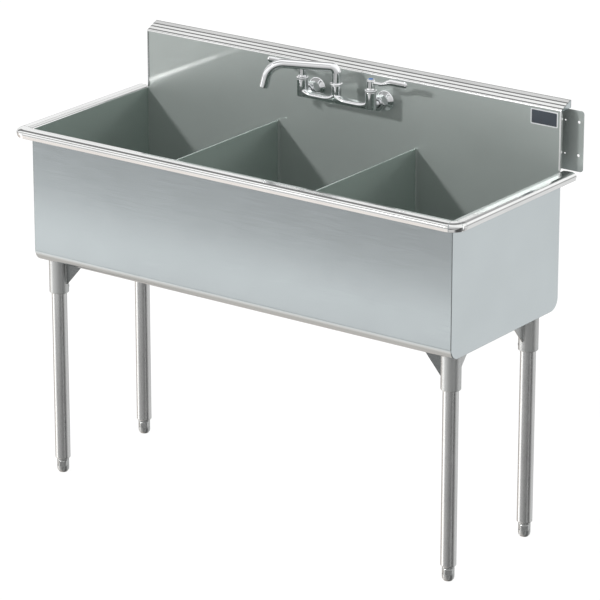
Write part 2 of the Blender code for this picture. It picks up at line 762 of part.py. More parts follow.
def blade_outline(side):
    """Side view of the lever: a neck out of the hub, which rises to a rounded paddle."""
    neck, paddle = 0.0048, 0.0080
    tip = LEVER_LENGTH - paddle
    spine = (
        (STEM_RADIUS, 0, neck),
        (0.028, 0, neck),
        (0.044, LEVER_RISE * 0.7, paddle * 0.75),
        (0.060, LEVER_RISE, paddle),
    )
    upper = [(side * x, rise + half) for x, rise, half in spine]
    lower = [(side * x, rise - half) for x, rise, half in reversed(spine)]
    end = arc((tip, LEVER_RISE), paddle, 90, -90, 8)
    return upper + [(side * x, z) for x, z in end] + lower


def spout_path():
    """Centre line in the post's frame: up, round an elbow, out along -Y, and down to the nozzle."""
    turn = math.radians(SPOUT_TURN_DOWN)
    drop = SPOUT_AXIS_Z - SPOUT_TIP_Z - SPOUT_BEND * (1 - math.cos(turn))
    straight = drop / math.sin(turn)
    bend_start = SPOUT_REACH - SPOUT_BEND * math.sin(turn) - straight * math.cos(turn)
    path = [(0, VALVE_TOP + 0.001 - SPOUT_AXIS_Z)]
    path += arc((SPOUT_ELBOW, -SPOUT_ELBOW), SPOUT_ELBOW, 180, 90, 6)
    path += arc((bend_start, -SPOUT_BEND), SPOUT_BEND, 90, 90 - SPOUT_TURN_DOWN, 9)
    last_out, last_z = path[-1]
    run = straight - NOZZLE_LENGTH
    path.append((last_out + run * math.cos(turn), last_z - run * math.sin(turn)))
    return [(0, -out, z) for out, z in path]


def add_spout():
    """The spout, the ring that holds it in the post, and the nozzle at its tip, on one swing empty."""
    swing = bpy.data.objects.new("spout_swing_axis", None)
    PARTS.objects.link(swing)
    swing.location = (FAUCET_X, FAUCET_Y, SPOUT_AXIS_Z)
    swing.rotation_euler = (0, 0, -SPOUT_SWING)
    spout = tube("spout", spout_path(), SPOUT_RADIUS, CHROME)
    spout.parent = swing

    ring_bottom = VALVE_TOP + GAP - SPOUT_AXIS_Z
    ring_top = ring_bottom + 0.0055
    inner = SPOUT_RADIUS + GAP + 0.0001
    ring_profile = [
        (inner + 0.0022, ring_top),
        (inner + 0.0036, ring_top - 0.0015),
        (inner + 0.0036, ring_bottom),
        (inner, ring_bottom),
        (inner, ring_top),
    ]
    turned("spout_nut", ring_profile, CHROME, (FAUCET_X, FAUCET_Y, SPOUT_AXIS_Z))

    top = NOZZLE_LENGTH - GAP
    outlet = SPOUT_RADIUS - 0.0035
    nozzle_profile = [
        (SPOUT_RADIUS, top),
        (SPOUT_RADIUS, 0.001),
        (SPOUT_RADIUS - 0.001, 0),
        (outlet, 0),
        (outlet, top),
    ]
    place = (0, -SPOUT_REACH, SPOUT_TIP_Z - SPOUT_AXIS_Z)
    lean = (math.radians(SPOUT_TURN_DOWN - 90), 0, 0)
    turned("spout_tip", nozzle_profile, CHROME, place, lean).parent = swing


def add_faucet():
    add_faucet_body()
    for word, x, side, index in (("hot", HOT_X, -1, RED_INDEX), ("cold", COLD_X, 1, BLUE_INDEX)):
        add_inlet_fittings(word, x)
        add_handle(word, x, side, index)
    add_spout()


# ---- Build --------------------------------------------------------------------------------
add_tub()
add_blank_label()
add_wall_bracket()
for leg_word, (leg_x, leg_y) in LEG_PLACES.items():
    add_leg(leg_word, leg_x, leg_y)
for compartment, centre in zip(COMPARTMENT_NAMES, COMPARTMENT_CENTRES):
    add_drain(compartment, centre)
add_faucet()
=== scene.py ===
import json
from math import atan2, ceil, copysign, cos, degrees, pi, radians, sin, sqrt, tan

import bmesh
import bpy
from mathutils import Matrix, Vector


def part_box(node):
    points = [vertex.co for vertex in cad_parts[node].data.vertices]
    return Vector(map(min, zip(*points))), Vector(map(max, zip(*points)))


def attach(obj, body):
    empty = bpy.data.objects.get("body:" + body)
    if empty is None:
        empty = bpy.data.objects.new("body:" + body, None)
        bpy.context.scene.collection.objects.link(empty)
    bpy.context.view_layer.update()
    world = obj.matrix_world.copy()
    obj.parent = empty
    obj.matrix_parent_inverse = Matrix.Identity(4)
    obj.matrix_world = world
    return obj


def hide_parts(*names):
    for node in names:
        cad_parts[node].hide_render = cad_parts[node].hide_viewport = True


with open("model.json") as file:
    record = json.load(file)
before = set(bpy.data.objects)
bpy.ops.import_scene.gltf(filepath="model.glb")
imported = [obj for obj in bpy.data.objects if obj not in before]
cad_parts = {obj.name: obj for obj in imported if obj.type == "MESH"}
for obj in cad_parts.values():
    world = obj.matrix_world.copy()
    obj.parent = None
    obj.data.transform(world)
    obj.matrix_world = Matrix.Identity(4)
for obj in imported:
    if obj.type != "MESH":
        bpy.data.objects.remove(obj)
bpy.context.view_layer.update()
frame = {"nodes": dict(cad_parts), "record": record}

RECORD = frame["record"]
SLOT_OF = {row["node"]: row["material_slot"] for row in RECORD["subparts"]}
BODY_OF = {node: body for body, nodes in RECORD["behaviour"]["bodies"].items() for node in nodes}

# ---- Camera, the photograph's viewing angle ----
AZIMUTH = radians(35.97)
ELEVATION = radians(19.29)
DISTANCE = 9.386
TARGET = Vector((-0.1713, 0.2699, 0.4168))
LENS = 222.5

# ---- Sheet metal and fitting sizes that the CAD boxes don't give ----
SHEET = 0.0015
GAP = 0.0003
BEND_RADIUS = 0.03  # of the tub's bends, outside
RIM_DROP = 0.02
RIM_LIP = 0.008
RIM_STEP = 0.0012
LEG_WALL = 0.0016
CREASE = 13  # degrees; a bend sharper than this stays a line
DRAIN_FLANGE = 0.057
DRAIN_THROAT = 0.0425
DRAIN_WALL = 0.002
DRAIN_DEPTH = 0.032
TAILPIECE = 0.019
SPLASH_BEND_Z = 1.059
SPLASH_LIP = 0.02
SPLASH_END_RETURN = 0.006
SOCKET_RADIUS = 0.0243
HEM_WIDTH = 0.0045
INLET_HOLE = 0.0125
DRILL = 0.02

# ---- Places read from the CAD frame ----
WRAP_LOW, WRAP_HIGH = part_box("tub_wrap")
PANEL_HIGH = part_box("end_panel_right")[1]
WRAP_END = WRAP_HIGH.x
INNER_END = WRAP_END + GAP
HALF_WIDTH = INNER_END + SHEET
RIM_REACH = PANEL_HIGH.x - HALF_WIDTH
RIM_TOP = PANEL_HIGH.z
INNER_FRONT = WRAP_LOW.y + RIM_REACH + SHEET
FRONT_FACE = INNER_FRONT - SHEET
SPLASH_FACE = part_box("divider_left")[1].y + GAP
BACK_OUTSIDE = SPLASH_FACE + SHEET
WALL_PLANE = WRAP_HIGH.y
TUB_BOTTOM = WRAP_LOW.z
FLOOR_TOP = TUB_BOTTOM + SHEET


def centre_of(node):
    low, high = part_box(node)
    return (low + high) / 2


def measure(node):
    """A node's lowest and highest corner, and half its width."""
    low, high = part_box(node)
    return low, high, (high.x - low.x) / 2


# ---- Mesh toolkit ----
FULL_TURN = 2 * pi
TO_WALL = (-pi / 2, 0, 0)  # lays a turned profile's axis along +Y


def set_up(thing, settings):
    for name, value in settings.items():
        setattr(thing, name, value)
    return thing


def arc(centre, radius, start, end, steps=8):
    """Points along an arc; the angles are degrees, and both ends are included."""
    points = []
    for i in range(steps + 1):
        angle = radians(start + (end - start) * i / steps)
        points.append((centre[0] + radius * cos(angle), centre[1] + radius * sin(angle)))
    return points


def circle(radius, count, centre=(0, 0), start=0.0):
    """Points all the way round; start is a share of one step."""
    first = 360 * start / count
    return arc(centre, radius, first, first + 360, count)[:-1]


def hexagon(angle, apothem):
    """How far out a hexagon's side is at an angle; it has a corner at 0."""
    return apothem / cos(angle % (pi / 3) - pi / 6)


def lower_edge(outer, bottom, radius, steps):
    """The rounding where a turned profile's side meets its lower end."""
    return arc((outer - radius, bottom + radius), radius, 0, -90, steps)


def thread(radius, depth, start, pitch, turns):
    """Crests and roots down a turned profile, or up it where the pitch is negative."""
    points = []
    for i in range(turns):
        z = start - i * pitch
        points += [(radius, z), (radius - depth, z - pitch / 2)]
    return points


def loft(bm, rings):
    """Faces between closed rings of points, with the first and last ring capped."""
    rows = [[bm.verts.new(point) for point in ring] for ring in rings]
    count = len(rows[0])
    for first, second in zip(rows, rows[1:]):
        for i in range(count):
            j = (i + 1) % count
            bm.faces.new((first[i], first[j], second[j], second[i]))
    bm.faces.new(rows[0][::-1])
    bm.faces.new(rows[-1])


def lathe(bm, profile, segments=64, closed=False, shape=None):
    """A (radius, height) profile turned about Z; shape(angle, radius, height) can change a radius."""
    rows = []
    for radius, height in profile:
        if radius < 1e-6:
            rows.append([bm.verts.new((0, 0, height))] * segments)
            continue
        row = []
        for i in range(segments):
            angle = FULL_TURN * i / segments
            reach = shape(angle, radius, height) if shape else radius
            row.append(bm.verts.new((reach * cos(angle), reach * sin(angle), height)))
        rows.append(row)
    pairs = list(zip(rows, rows[1:])) + ([(rows[-1], rows[0])] if closed else [])
    for first, second in pairs:
        for i in range(segments):
            j = (i + 1) % segments
            corners = list(dict.fromkeys((first[i], first[j], second[j], second[i])))
            if len(corners) > 2:
                bm.faces.new(corners)


def prism(bm, outline, thickness, plane, centre=(0, 0, 0)):
    """A flat outline given in the XZ or YZ plane, thickened both ways about that plane."""
    rings = []
    for depth in (-thickness / 2, thickness / 2):
        points = [(a, depth, b) if plane == "XZ" else (depth, a, b) for a, b in outline]
        rings.append([Vector(point) + Vector(centre) for point in points])
    loft(bm, rings)


def section(path, thickness):
    """A bent sheet's closed outline: the path, and back along it, offset to its left."""
    points = [Vector(point) for point in path]
    ways = [(after - before).normalized() for before, after in zip(points, points[1:])]
    offset = []
    for here, one, two in zip(points, ways[:1] + ways, ways + ways[-1:]):
        normal = Vector((-one.y - two.y, one.x + two.x)).normalized()
        spread = max(normal.dot(Vector((-one.y, one.x))), 0.5)
        offset.append(tuple(here + normal * thickness / spread))
    return list(path) + offset[::-1]


def inset(outline, distance):
    """An open-topped plate's outline drawn in by a distance; its top corners keep their height."""
    points = []
    for i, (a, b) in enumerate(outline):
        before, after = Vector(outline[max(i - 1, 0)]), Vector(outline[min(i + 1, len(outline) - 1)])
        along = (after - before).normalized()
        points.append((a - along.y * distance, b + along.x * distance))
    return points


def sweep(bm, path, radius, sides):
    """A round tube along a path of 3-D points; radius is a number or a function of an index."""
    points = [Vector(point) for point in path]
    up = None
    rings = []
    for i, point in enumerate(points):
        along = (points[min(i + 1, len(points) - 1)] - points[max(i - 1, 0)]).normalized()
        if up is None:
            up = along.orthogonal().normalized()
        up = (up - along * up.dot(along)).normalized()
        side = along.cross(up)
        reach = radius(i) if callable(radius) else radius
        rings.append([point + (up * a + side * b) * reach for a, b in circle(1, sides)])
    loft(bm, rings)


def moved(bm, matrix, start=0):
    """Moves the vertices made since the start-th one."""
    bm.verts.ensure_lookup_table()
    bmesh.ops.transform(bm, matrix=matrix, verts=bm.verts[start:])


def made(make, *values, **how):
    """A new mesh with one shape in it."""
    bm = bmesh.new()
    make(bm, *values, **how)
    return bm


def plain_mesh(bm, name):
    mesh = bpy.data.meshes.new(name)
    bm.to_mesh(mesh)
    bm.free()
    return mesh


def smooth_mesh(bm, name, angle):
    """A mesh with smooth shading up to a bend of the given degrees."""
    bmesh.ops.recalc_face_normals(bm, faces=bm.faces)
    mesh = plain_mesh(bm, name)
    mesh.shade_smooth()
    mesh.set_sharp_from_angle(angle=radians(angle))
    return mesh


def add_object(name, data, location=(0, 0, 0), rotation=(0, 0, 0)):
    obj = bpy.data.objects.new(name, data)
    bpy.context.scene.collection.objects.link(obj)
    obj.location = location
    obj.rotation_euler = rotation
    return obj


def add_piece(name, bm, material, body="sink", location=(0, 0, 0),
              rotation=(0, 0, 0), angle=38):
    obj = add_object(name, smooth_mesh(bm, name, angle), location, rotation)
    obj.data.materials.append(material)
    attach(obj, body)
    return obj


def stand_in(node, bm, material, location=(0, 0, 0), rotation=(0, 0, 0), angle=38):
    """A finer piece in place of a CAD node, on the node's own body."""
    slot, body = SLOT_OF[node], BODY_OF[node]
    obj = add_piece(node + "_fine", bm, material, body, location, rotation, angle)
    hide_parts(node)
    return obj


def turned(node, profile, material, place, segments=72, rotation=(0, 0, 0), angle=38, **how):
    """A stand-in that is one profile turned about an axis through a place."""
    bm = made(lathe, profile, segments, **how)
    return stand_in(node, bm, material, place, rotation, angle)


def refinish(obj, material, chosen):
    """Gives the faces that chosen(centre, normal) picks a second material."""
    obj.data.materials.append(material)
    index = len(obj.data.materials) - 1
    for face in obj.data.polygons:
        if chosen(face.center, face.normal):
            face.material_index = index


def rim_side(normal, centre):
    """Whether a face of the wrap lies on the rolled rim."""
    outside = centre.y < FRONT_FACE - 0.0004 or normal.z > 0.5
    return outside and centre.z > RIM_TOP - RIM_DROP - 0.001


def faces_out(centre, normal):
    """Whether a face of the wrap is on the outside of the tub's front, bottom or back."""
    front = normal.y < -0.02 and centre.y < 0 and centre.z < RIM_TOP - 0.003
    return front or normal.z < -0.3 or (normal.y > 0.3 and centre.y > SPLASH_FACE + SHEET / 2)


def modify(obj, name, kind, **settings):
    set_up(obj.modifiers.new(name, kind), settings)
    return obj


def soften_edges(obj, width, segments=2, angle=50):
    return modify(obj, "soft edges", "BEVEL", width=width, segments=segments, limit_method="ANGLE",
                  angle_limit=radians(angle), harden_normals=True)


def even_normals(obj):
    return modify(obj, "even normals", "WEIGHTED_NORMAL", keep_sharp=True, weight=100)


def cut(obj, cutters):
    """Cuts closed helper meshes out of a piece."""
    for cutter in cutters:
        modify(obj, "cut", "BOOLEAN", operation="DIFFERENCE", solver="EXACT", object=cutter)
    return obj


def fuse(obj, voxel, repeats):
    """Melts the overlapping shapes of a piece into one skin with soft fillets, as a casting has."""
    modify(obj, "melt", "REMESH", mode="VOXEL", voxel_size=voxel, use_smooth_shade=True)
    modify(obj, "fillets", "SMOOTH", factor=0.5, iterations=repeats)


def drill(radius, length, place, axis="Z", segments=64):
    """A hidden cylinder that cut() uses to make a round hole."""
    bm = bmesh.new()
    size = {"radius1": radius, "radius2": radius, "depth": length}
    bmesh.ops.create_cone(bm, cap_ends=True, segments=segments, **size)
    rotation = (pi / 2, 0, 0) if axis == "Y" else (0, 0, 0)
    obj = add_object("drill", plain_mesh(bm, "drill"), place, rotation)
    obj.hide_render = obj.hide_viewport = True
    return obj


# ---- Materials ----
def set_inputs(tree, node, inputs):
    """Gives each input its value, or a link where the value is another node's output."""
    for name, value in inputs.items():
        if isinstance(value, bpy.types.NodeSocket):
            tree.links.new(value, node.inputs[name])
        else:
            node.inputs[name].default_value = value


def add_node(tree, kind, inputs=None, **settings):
    node = set_up(tree.nodes.new("ShaderNode" + kind), settings)
    set_inputs(tree, node, inputs or {})
    return node


def new_material(name):
    mat = bpy.data.materials.new(name)
    mat.use_nodes = True
    return mat, mat.node_tree, mat.node_tree.nodes["Principled BSDF"]


def noise(tree, scale, stretch, detail=5.0, roughness=0.65):
    """Noise in the piece's own metres, stretched along each axis."""
    place = add_node(tree, "TexCoord").outputs["Object"]
    mapping = add_node(tree, "Mapping", {"Scale": stretch, "Vector": place})
    inputs = {"Scale": scale, "Detail": detail, "Roughness": roughness}
    inputs["Vector"] = mapping.outputs["Vector"]
    return add_node(tree, "TexNoise", inputs).outputs["Fac"]


def spread_range(tree, source, low, high):
    """Noise mostly lies between 0.3 and 0.7, so that span becomes low to high."""
    inputs = {"From Min": 0.3, "From Max": 0.7, "To Min": low, "To Max": high, "Value": source}
    return add_node(tree, "MapRange", inputs).outputs["Result"]


GRAIN_DEPTH = 0.0005
CLOUD_SCALE = 7.0


def finish(name, colour, roughness, metallic=1.0, grain=(1, 1, 1), grain_scale=600, streak=0.05,
           bump=0.02, cloud=0.05):
    """A surface with fine grain in its roughness and relief, and faint clouds in its colour."""
    mat, tree, shader = new_material(name)
    lines = noise(tree, grain_scale, grain)
    rough = spread_range(tree, lines, max(roughness - streak, 0.02), roughness + streak)
    relief = add_node(tree, "Bump", {"Strength": bump, "Distance": GRAIN_DEPTH, "Height": lines})
    dark = tuple(c * (1 - cloud) for c in colour)
    light = tuple(min(c * (1 + cloud), 1) for c in colour)
    tint = add_node(tree, "Mix", data_type="RGBA")
    clouds = spread_range(tree, noise(tree, CLOUD_SCALE, (1, 1, 1), 3.0, 0.5), 0, 1)
    set_inputs(tree, tint, {"Factor": clouds, "A": (*dark, 1), "B": (*light, 1)})
    set_inputs(tree, shader, {
        "Base Color": tint.outputs["Result"], "Metallic": metallic,
        "Roughness": rough, "Normal": relief.outputs["Normal"],
    })
    return mat


# The grain's scale on each axis, so that it runs along one of them, and the steels' colours.
ALONG_X = (0.02, 1, 1)
ALONG_Y = (1, 0.02, 1)
ALONG_Z = (1, 1, 0.02)
# Lit and shaded copies of the tub's one steel: painted shade makes the bowls' sheet darker and
# greener, a painted reflection tint makes the bowls' sides greener and the outside bluer and lighter.
SHADED_BOWL_STEEL = (0.43, 0.468, 0.452)
REFLECTION_TINTED_SIDES = (0.58, 0.66, 0.62)
REFLECTION_TINTED_OUTSIDE = (0.59, 0.64, 0.655)
SATIN, MIRRORED = 0.4, 0.75  # how metallic: the bowls' sheet takes shadows, their sides mirror it

wrap_steel = finish("wrap_steel", SHADED_BOWL_STEEL, 0.36, SATIN, grain=ALONG_X, streak=0.035, cloud=0.02)
panel_steel = finish("panel_steel", REFLECTION_TINTED_SIDES, 0.24, MIRRORED, grain=ALONG_Y, streak=0.01, cloud=0.02)
outside_steel = finish("outside_steel", REFLECTION_TINTED_OUTSIDE, 0.2, grain=ALONG_X, streak=0.03, cloud=0.02)
end_outside_steel = finish("end_outside_steel", REFLECTION_TINTED_OUTSIDE, 0.24, grain=ALONG_Y, streak=0.03, cloud=0.02)
# Painted highlight: the rolled rim, part of the same sheet, is given a paler colour than the rest of
# the tub.
rim_steel = finish("rim_steel", (0.77, 0.775, 0.77), 0.11, grain=ALONG_X, streak=0.03)
# Painted highlight: a pale, barely metallic steel so the backsplash's right hem shows as a bright
# line.
painted_highlight_steel = finish("painted_highlight_steel", (0.86, 0.865, 0.86), 0.3, 0.25, grain=ALONG_Z, streak=0.03)
# Painted shade: a near-black steel for the gussets' front-facing wings and the backsplash's left hem,
# standing in for the dark they mirror.
painted_shade_steel = finish("painted_shade_steel", (0.2, 0.21, 0.21), 0.26, grain=ALONG_X)
bracket_steel = finish("bracket_steel", (0.46, 0.5, 0.485), 0.4, 0.5, grain=ALONG_Z, streak=0.06)
tube_steel = finish("tube_steel", (0.6, 0.605, 0.6), 0.28, grain=ALONG_Z, streak=0.04)
socket_steel = finish("socket_steel", (0.54, 0.55, 0.545), 0.38, grain=(1, 1, 0.3))
foot_steel = finish("foot_steel", (0.46, 0.47, 0.465), 0.33, grain=(0.1, 0.1, 1))
weld_steel = finish("weld_steel", (0.55, 0.56, 0.555), 0.42, grain_scale=900, streak=0.08, bump=0.12)
drain_steel = finish("drain_steel", (0.6, 0.615, 0.61), 0.26, grain=(0.1, 0.1, 1))
strainer_steel = finish("strainer_steel", (0.66, 0.67, 0.67), 0.2, grain=(0.2, 0.2, 1))
chrome = finish(
    "chrome", (0.84, 0.85, 0.86), 0.035, grain_scale=90, streak=0.015, bump=0.003, cloud=0.02
)
cast_chrome = finish("cast_chrome", (0.82, 0.83, 0.84), 0.05, grain_scale=60, streak=0.02, cloud=0.03)
rubber = finish("dark_rubber", (0.03, 0.03, 0.03), 0.75, 0.0, grain_scale=500, bump=0.2, cloud=0.15)
plastic = finish("insert_plastic", (0.12, 0.12, 0.13), 0.5, 0.0, grain_scale=300, bump=0.1, cloud=0.1)
label_border = finish("label_border", (0.78, 0.79, 0.8), 0.35, 0.0, grain_scale=300, cloud=0.03)
label_field = finish("label_field", (0.055, 0.065, 0.08), 0.32, 0.0, grain_scale=300, cloud=0.08)
blue_cap = finish("blue_cap", (0.03, 0.2, 0.62), 0.25, 0.0, grain_scale=200, bump=0.03, cloud=0.08)
red_cap = finish("red_cap", (0.55, 0.03, 0.03), 0.25, 0.0, grain_scale=200, bump=0.03, cloud=0.08)
cap_ring = finish("cap_ring", (0.85, 0.86, 0.87), 0.2, 0.0, grain_scale=200, cloud=0.03)


# ---- Tub ----
def rim_profile():
    """(distance out from the inner face, height): bend, step, crown, roll, outer face and lip."""
    outer = RIM_REACH + SHEET
    bend, lip_bend = 0.004, 0.002
    drain_width, crown_middle, crown_end, chamfer_width = 0.0085, 0.0225, 0.0283, 0.0048
    fall, chamfer, lean = 6.5, 15, 15  # degrees: of the step, the chamfer and the outer face
    inner_top = RIM_TOP - RIM_STEP
    points = arc((bend, inner_top - bend), bend, 180, 90 + fall, 9)
    out, height = points[-1]
    points.append((out + drain_width, height + drain_width * tan(radians(fall))))
    out, height = points[-1]
    points += [(out + 0.0009, RIM_TOP - 0.0002), (out + 0.0016, RIM_TOP)]
    points += [(crown_middle, RIM_TOP), (crown_end, RIM_TOP)]
    slope = radians(chamfer)
    points.append((crown_end + chamfer_width * cos(slope), RIM_TOP - chamfer_width * sin(slope)))
    roll = (outer - points[-1][0]) / (1 - sin(slope))
    centre = (outer - roll, points[-1][1] - roll * cos(slope))
    points += arc(centre, roll, 90 - chamfer, -lean, 14)[1:]
    inward = tan(radians(lean))
    out, height = points[-1]
    foot = RIM_TOP - RIM_DROP
    points += [(out - 0.0006, height - 0.0006 / inward), (out - 0.0007, height - 0.0026)]
    out, height = points[-1]
    run = height - foot - lip_bend
    points.append((out - run * inward, foot + lip_bend))
    points += arc((out - run * inward - lip_bend, foot + lip_bend), lip_bend, -lean, -90, 8)[1:]
    points.append((outer - RIM_LIP - 0.003, foot))
    return points


def splash_profile():
    """(y, z) over the backsplash: front roll, three creased slopes, top flat and wall lip."""
    roll, corner, crease, crease_slope = 0.006, 0.003, 0.0052, radians(14)
    faces = ((34, 1.0), (34, 0.85), (27.6, 1.2))  # degrees, share of the length
    points = arc((SPLASH_FACE + roll, SPLASH_BEND_Z), roll, 180, 90 + faces[0][0], 8)
    top = WRAP_HIGH.z
    last = radians(faces[-1][0])
    rise = top - roll * (1 - cos(last)) - points[-1][1]
    rise -= len(faces) * crease * sin(crease_slope)
    length = rise / sum(share * sin(radians(slope)) for slope, share in faces)
    for slope, share in faces:
        for angle, reach in ((crease_slope, crease), (radians(slope), length * share)):
            y, z = points[-1]
            points.append((y + reach * cos(angle), z + reach * sin(angle)))
    y, z = points[-1]
    points += arc((y + roll * sin(last), top - roll), roll, 90 + faces[-1][0], 90, 5)[1:]
    points += arc((WALL_PLANE - corner, top - corner), corner, 90, 0, 9)
    points.append((WALL_PLANE, top - SPLASH_LIP))
    return points


def trough(front, back, bottom, bend, steps=12):
    """(y, z) round the tub's two lower bends, from its front to its back."""
    points = arc((front + bend, bottom + bend), bend, 180, 270, steps)
    return points + arc((back - bend, bottom + bend), bend, 270, 360, steps)


def wrap_path():
    """(y, z) of the bent sheet's inner face, from the front rim's lip to the lip at the wall."""
    rim = [(INNER_FRONT - out, height) for out, height in reversed(rim_profile())]
    return rim + trough(INNER_FRONT, SPLASH_FACE, FLOOR_TOP, BEND_RADIUS - SHEET) + splash_profile()


def add_wrap():
    """One bent sheet, from the front rim through the tub to the backsplash's lip."""
    def on_rim(centre, normal):
        in_front = centre.y < INNER_FRONT - 0.0004
        return centre.z > SPLASH_BEND_Z or (in_front and rim_side(normal, centre))

    outline = section(wrap_path(), -SHEET)
    columns = [-WRAP_END + 2 * WRAP_END * i / 12 for i in range(13)]
    bm = made(loft, [[(x, y, z) for y, z in outline] for x in columns])
    wrap = stand_in("tub_wrap", bm, wrap_steel, angle=CREASE)
    refinish(wrap, outside_steel, faces_out)
    refinish(wrap, rim_steel, on_rim)
    drains = [centre_of(f"drain_body_{word}") for word in ("left", "centre", "right")]
    inlets = [centre_of(f"{word}_escutcheon") for word in ("hot", "cold")]
    drain_hole = DRAIN_THROAT + DRAIN_WALL + GAP
    drills = [drill(drain_hole, DRILL, (place.x, place.y, TUB_BOTTOM)) for place in drains]
    drills += [drill(INLET_HOLE, DRILL, (place.x, SPLASH_FACE, place.z), "Y") for place in inlets]
    even_normals(cut(wrap, drills))


def add_splash_end(word, side):
    """The backsplash's end: a return behind it, a cap on its sloped top and a hem down its face, pale
    as a painted highlight on the right and dark as painted shade on the left.
    """
    x = side * (WRAP_END - SHEET / 2)
    front, back = SPLASH_FACE + 0.0002, BACK_OUTSIDE + SPLASH_END_RETURN
    top = SPLASH_BEND_Z - 0.002
    outline = [(front, RIM_TOP + 0.001), (back, RIM_TOP + 0.004), (back, top - 0.004), (front, top)]
    bm = made(prism, outline, SHEET, "YZ", (x, 0, 0))
    soften_edges(add_piece(f"splash_end_{word}", bm, rim_steel), 0.0005)

    outline = [(min(y + 0.0002, WALL_PLANE), z - 0.0002) for y, z in splash_profile()]
    bm = made(prism, outline, SHEET, "YZ", (x, 0, 0))
    cap = add_piece(f"splash_cap_{word}", bm, end_outside_steel)
    cap.data.polygons.foreach_set("use_smooth", [False] * len(cap.data.polygons))

    left, right = sorted((side * WRAP_END, side * (WRAP_END - HEM_WIDTH)))
    hem = [(left, SPLASH_FACE - 0.0001), (right, SPLASH_FACE - 0.0011)]
    hem += [(right, SPLASH_FACE), (left, SPLASH_FACE)]
    bm = made(loft, [[(x, y, z) for x, y in hem] for z in (RIM_TOP, SPLASH_BEND_Z)])
    # Painted highlight on the right hem, painted shade on the left one.
    steel = painted_highlight_steel if side > 0 else painted_shade_steel
    add_piece(f"splash_hem_{word}", bm, steel)


def add_end_panel(word, side):
    """A flat end plate, and the side rim rolled out of its top edge."""
    join_z = RIM_TOP - 0.03
    bm = bmesh.new()
    outline = [(FRONT_FACE, join_z), *trough(FRONT_FACE, BACK_OUTSIDE, TUB_BOTTOM, BEND_RADIUS, 14)]
    outline.append((BACK_OUTSIDE, join_z))
    edge = 0.0014
    plate = [(INNER_END, outline), (HALF_WIDTH - edge, outline), (HALF_WIDTH, inset(outline, edge))]
    loft(bm, [[(side * x, y, z) for y, z in ring] for x, ring in plate])
    ring = section([(0.0, join_z)] + rim_profile(), -SHEET)
    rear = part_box(f"end_panel_{word}")[1].y
    front, rim_low = INNER_FRONT + 0.001, RIM_TOP - RIM_DROP
    stations = [front + (rear - front) * i / 8 for i in range(9)]
    loft(bm, [[(side * (INNER_END + out), y, z) for out, z in ring] for y in stations])
    strip = [(FRONT_FACE, join_z), (front, join_z), (front, rim_low), (FRONT_FACE, rim_low)]
    prism(bm, strip, SHEET, "YZ", (side * (INNER_END + SHEET / 2), 0, 0))
    panel = stand_in(f"end_panel_{word}", bm, panel_steel, angle=CREASE)
    refinish(panel, end_outside_steel, lambda c, n: side * n.x > 0.02)
    refinish(panel, rim_steel, lambda c, n: side * c.x > INNER_END + SHEET + 0.0002 or n.z > 0.3)
    even_normals(soften_edges(panel, 0.0005, 2, 60))


def add_rim_corner(word, side, seam):
    """The rolled rim turned through a quarter circle, with two seams of a width in degrees."""
    bm = bmesh.new()
    ring = section(rim_profile(), -SHEET)
    joint = 17
    spans = ((0, joint), (joint + seam, 90 - joint - seam), (90 - joint, 90)) if seam else ((0, 90),)
    for first, last in spans:
        steps = max(int((last - first) / 4.5), 2)
        rings = []
        for i in range(steps + 1):
            angle = radians(first + (last - first) * i / steps)
            across, ahead = cos(angle), sin(angle)
            rings.append([
                (side * (INNER_END + out * across), INNER_FRONT - out * ahead, z) for out, z in ring
            ])
        loft(bm, rings)
    bmesh.ops.remove_doubles(bm, verts=bm.verts, dist=0.00002)
    stand_in(f"rim_corner_{word}", bm, rim_steel, angle=CREASE)


def add_divider(word):
    """A plate between two compartments, and the coved weld where it meets the wrap."""
    low, high, half_thick = measure(f"divider_{word}")
    middle = (low.x + high.x) / 2
    edge = [(low.y, high.z), *trough(low.y, high.y, low.z, BEND_RADIUS - SHEET), (high.y, high.z)]
    bm = made(prism, edge, 2 * half_thick, "YZ", (middle, 0, 0))
    divider = stand_in(f"divider_{word}", bm, panel_steel)
    even_normals(soften_edges(divider, 0.0017, 5, 60))

    bm = bmesh.new()
    cove = 0.005
    reach = cove + GAP
    profile = [(0, -GAP)] + arc((reach, reach - GAP), reach, 270, 180, 6)
    for side in (-1, 1):
        lines = []
        for out, rise in profile:
            x = middle + side * (half_thick - 0.0001 + out)
            lines.append([(x, y, z) for y, z in inset(edge, rise)])
        loft(bm, list(zip(*lines)))
    add_piece(f"divider_weld_{word}", bm, wrap_steel)


def add_tub():
    sides = (("left", -1), ("right", 1))
    add_wrap()
    for word, side in sides:
        add_splash_end(word, side)
    for word, side in sides:
        add_end_panel(word, side)
        add_rim_corner(word, side, seam=0 if side < 0 else 3)
        add_divider(word)


# ---- Backsplash fittings ----
def rounded_rectangle(low, high, radius, steps=6):
    points = []
    for turn in range(4):
        a = high[0] - radius if turn in (0, 3) else low[0] + radius
        b = high[1] - radius if turn < 2 else low[1] + radius
        points += arc((a, b), radius, 90 * turn, 90 * turn + 90, steps)
    return points


def add_label():
    """A plain sticker: a pale border round an empty dark field."""
    low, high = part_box("blank_label")
    border = 0.0028
    outline = rounded_rectangle((low.x, low.z), (high.x, high.z), 0.003)
    bm = made(prism, outline, 0.0003, "XZ", (0, high.y - 0.00015, 0))
    stand_in("blank_label", bm, label_border)
    field = (low.x + border, low.z + border), (high.x - border, high.z - border)
    bm = made(prism, rounded_rectangle(*field, 0.0018), 0.0002, "XZ", (0, high.y - 0.0004, 0))
    add_piece("label_field", bm, label_field)


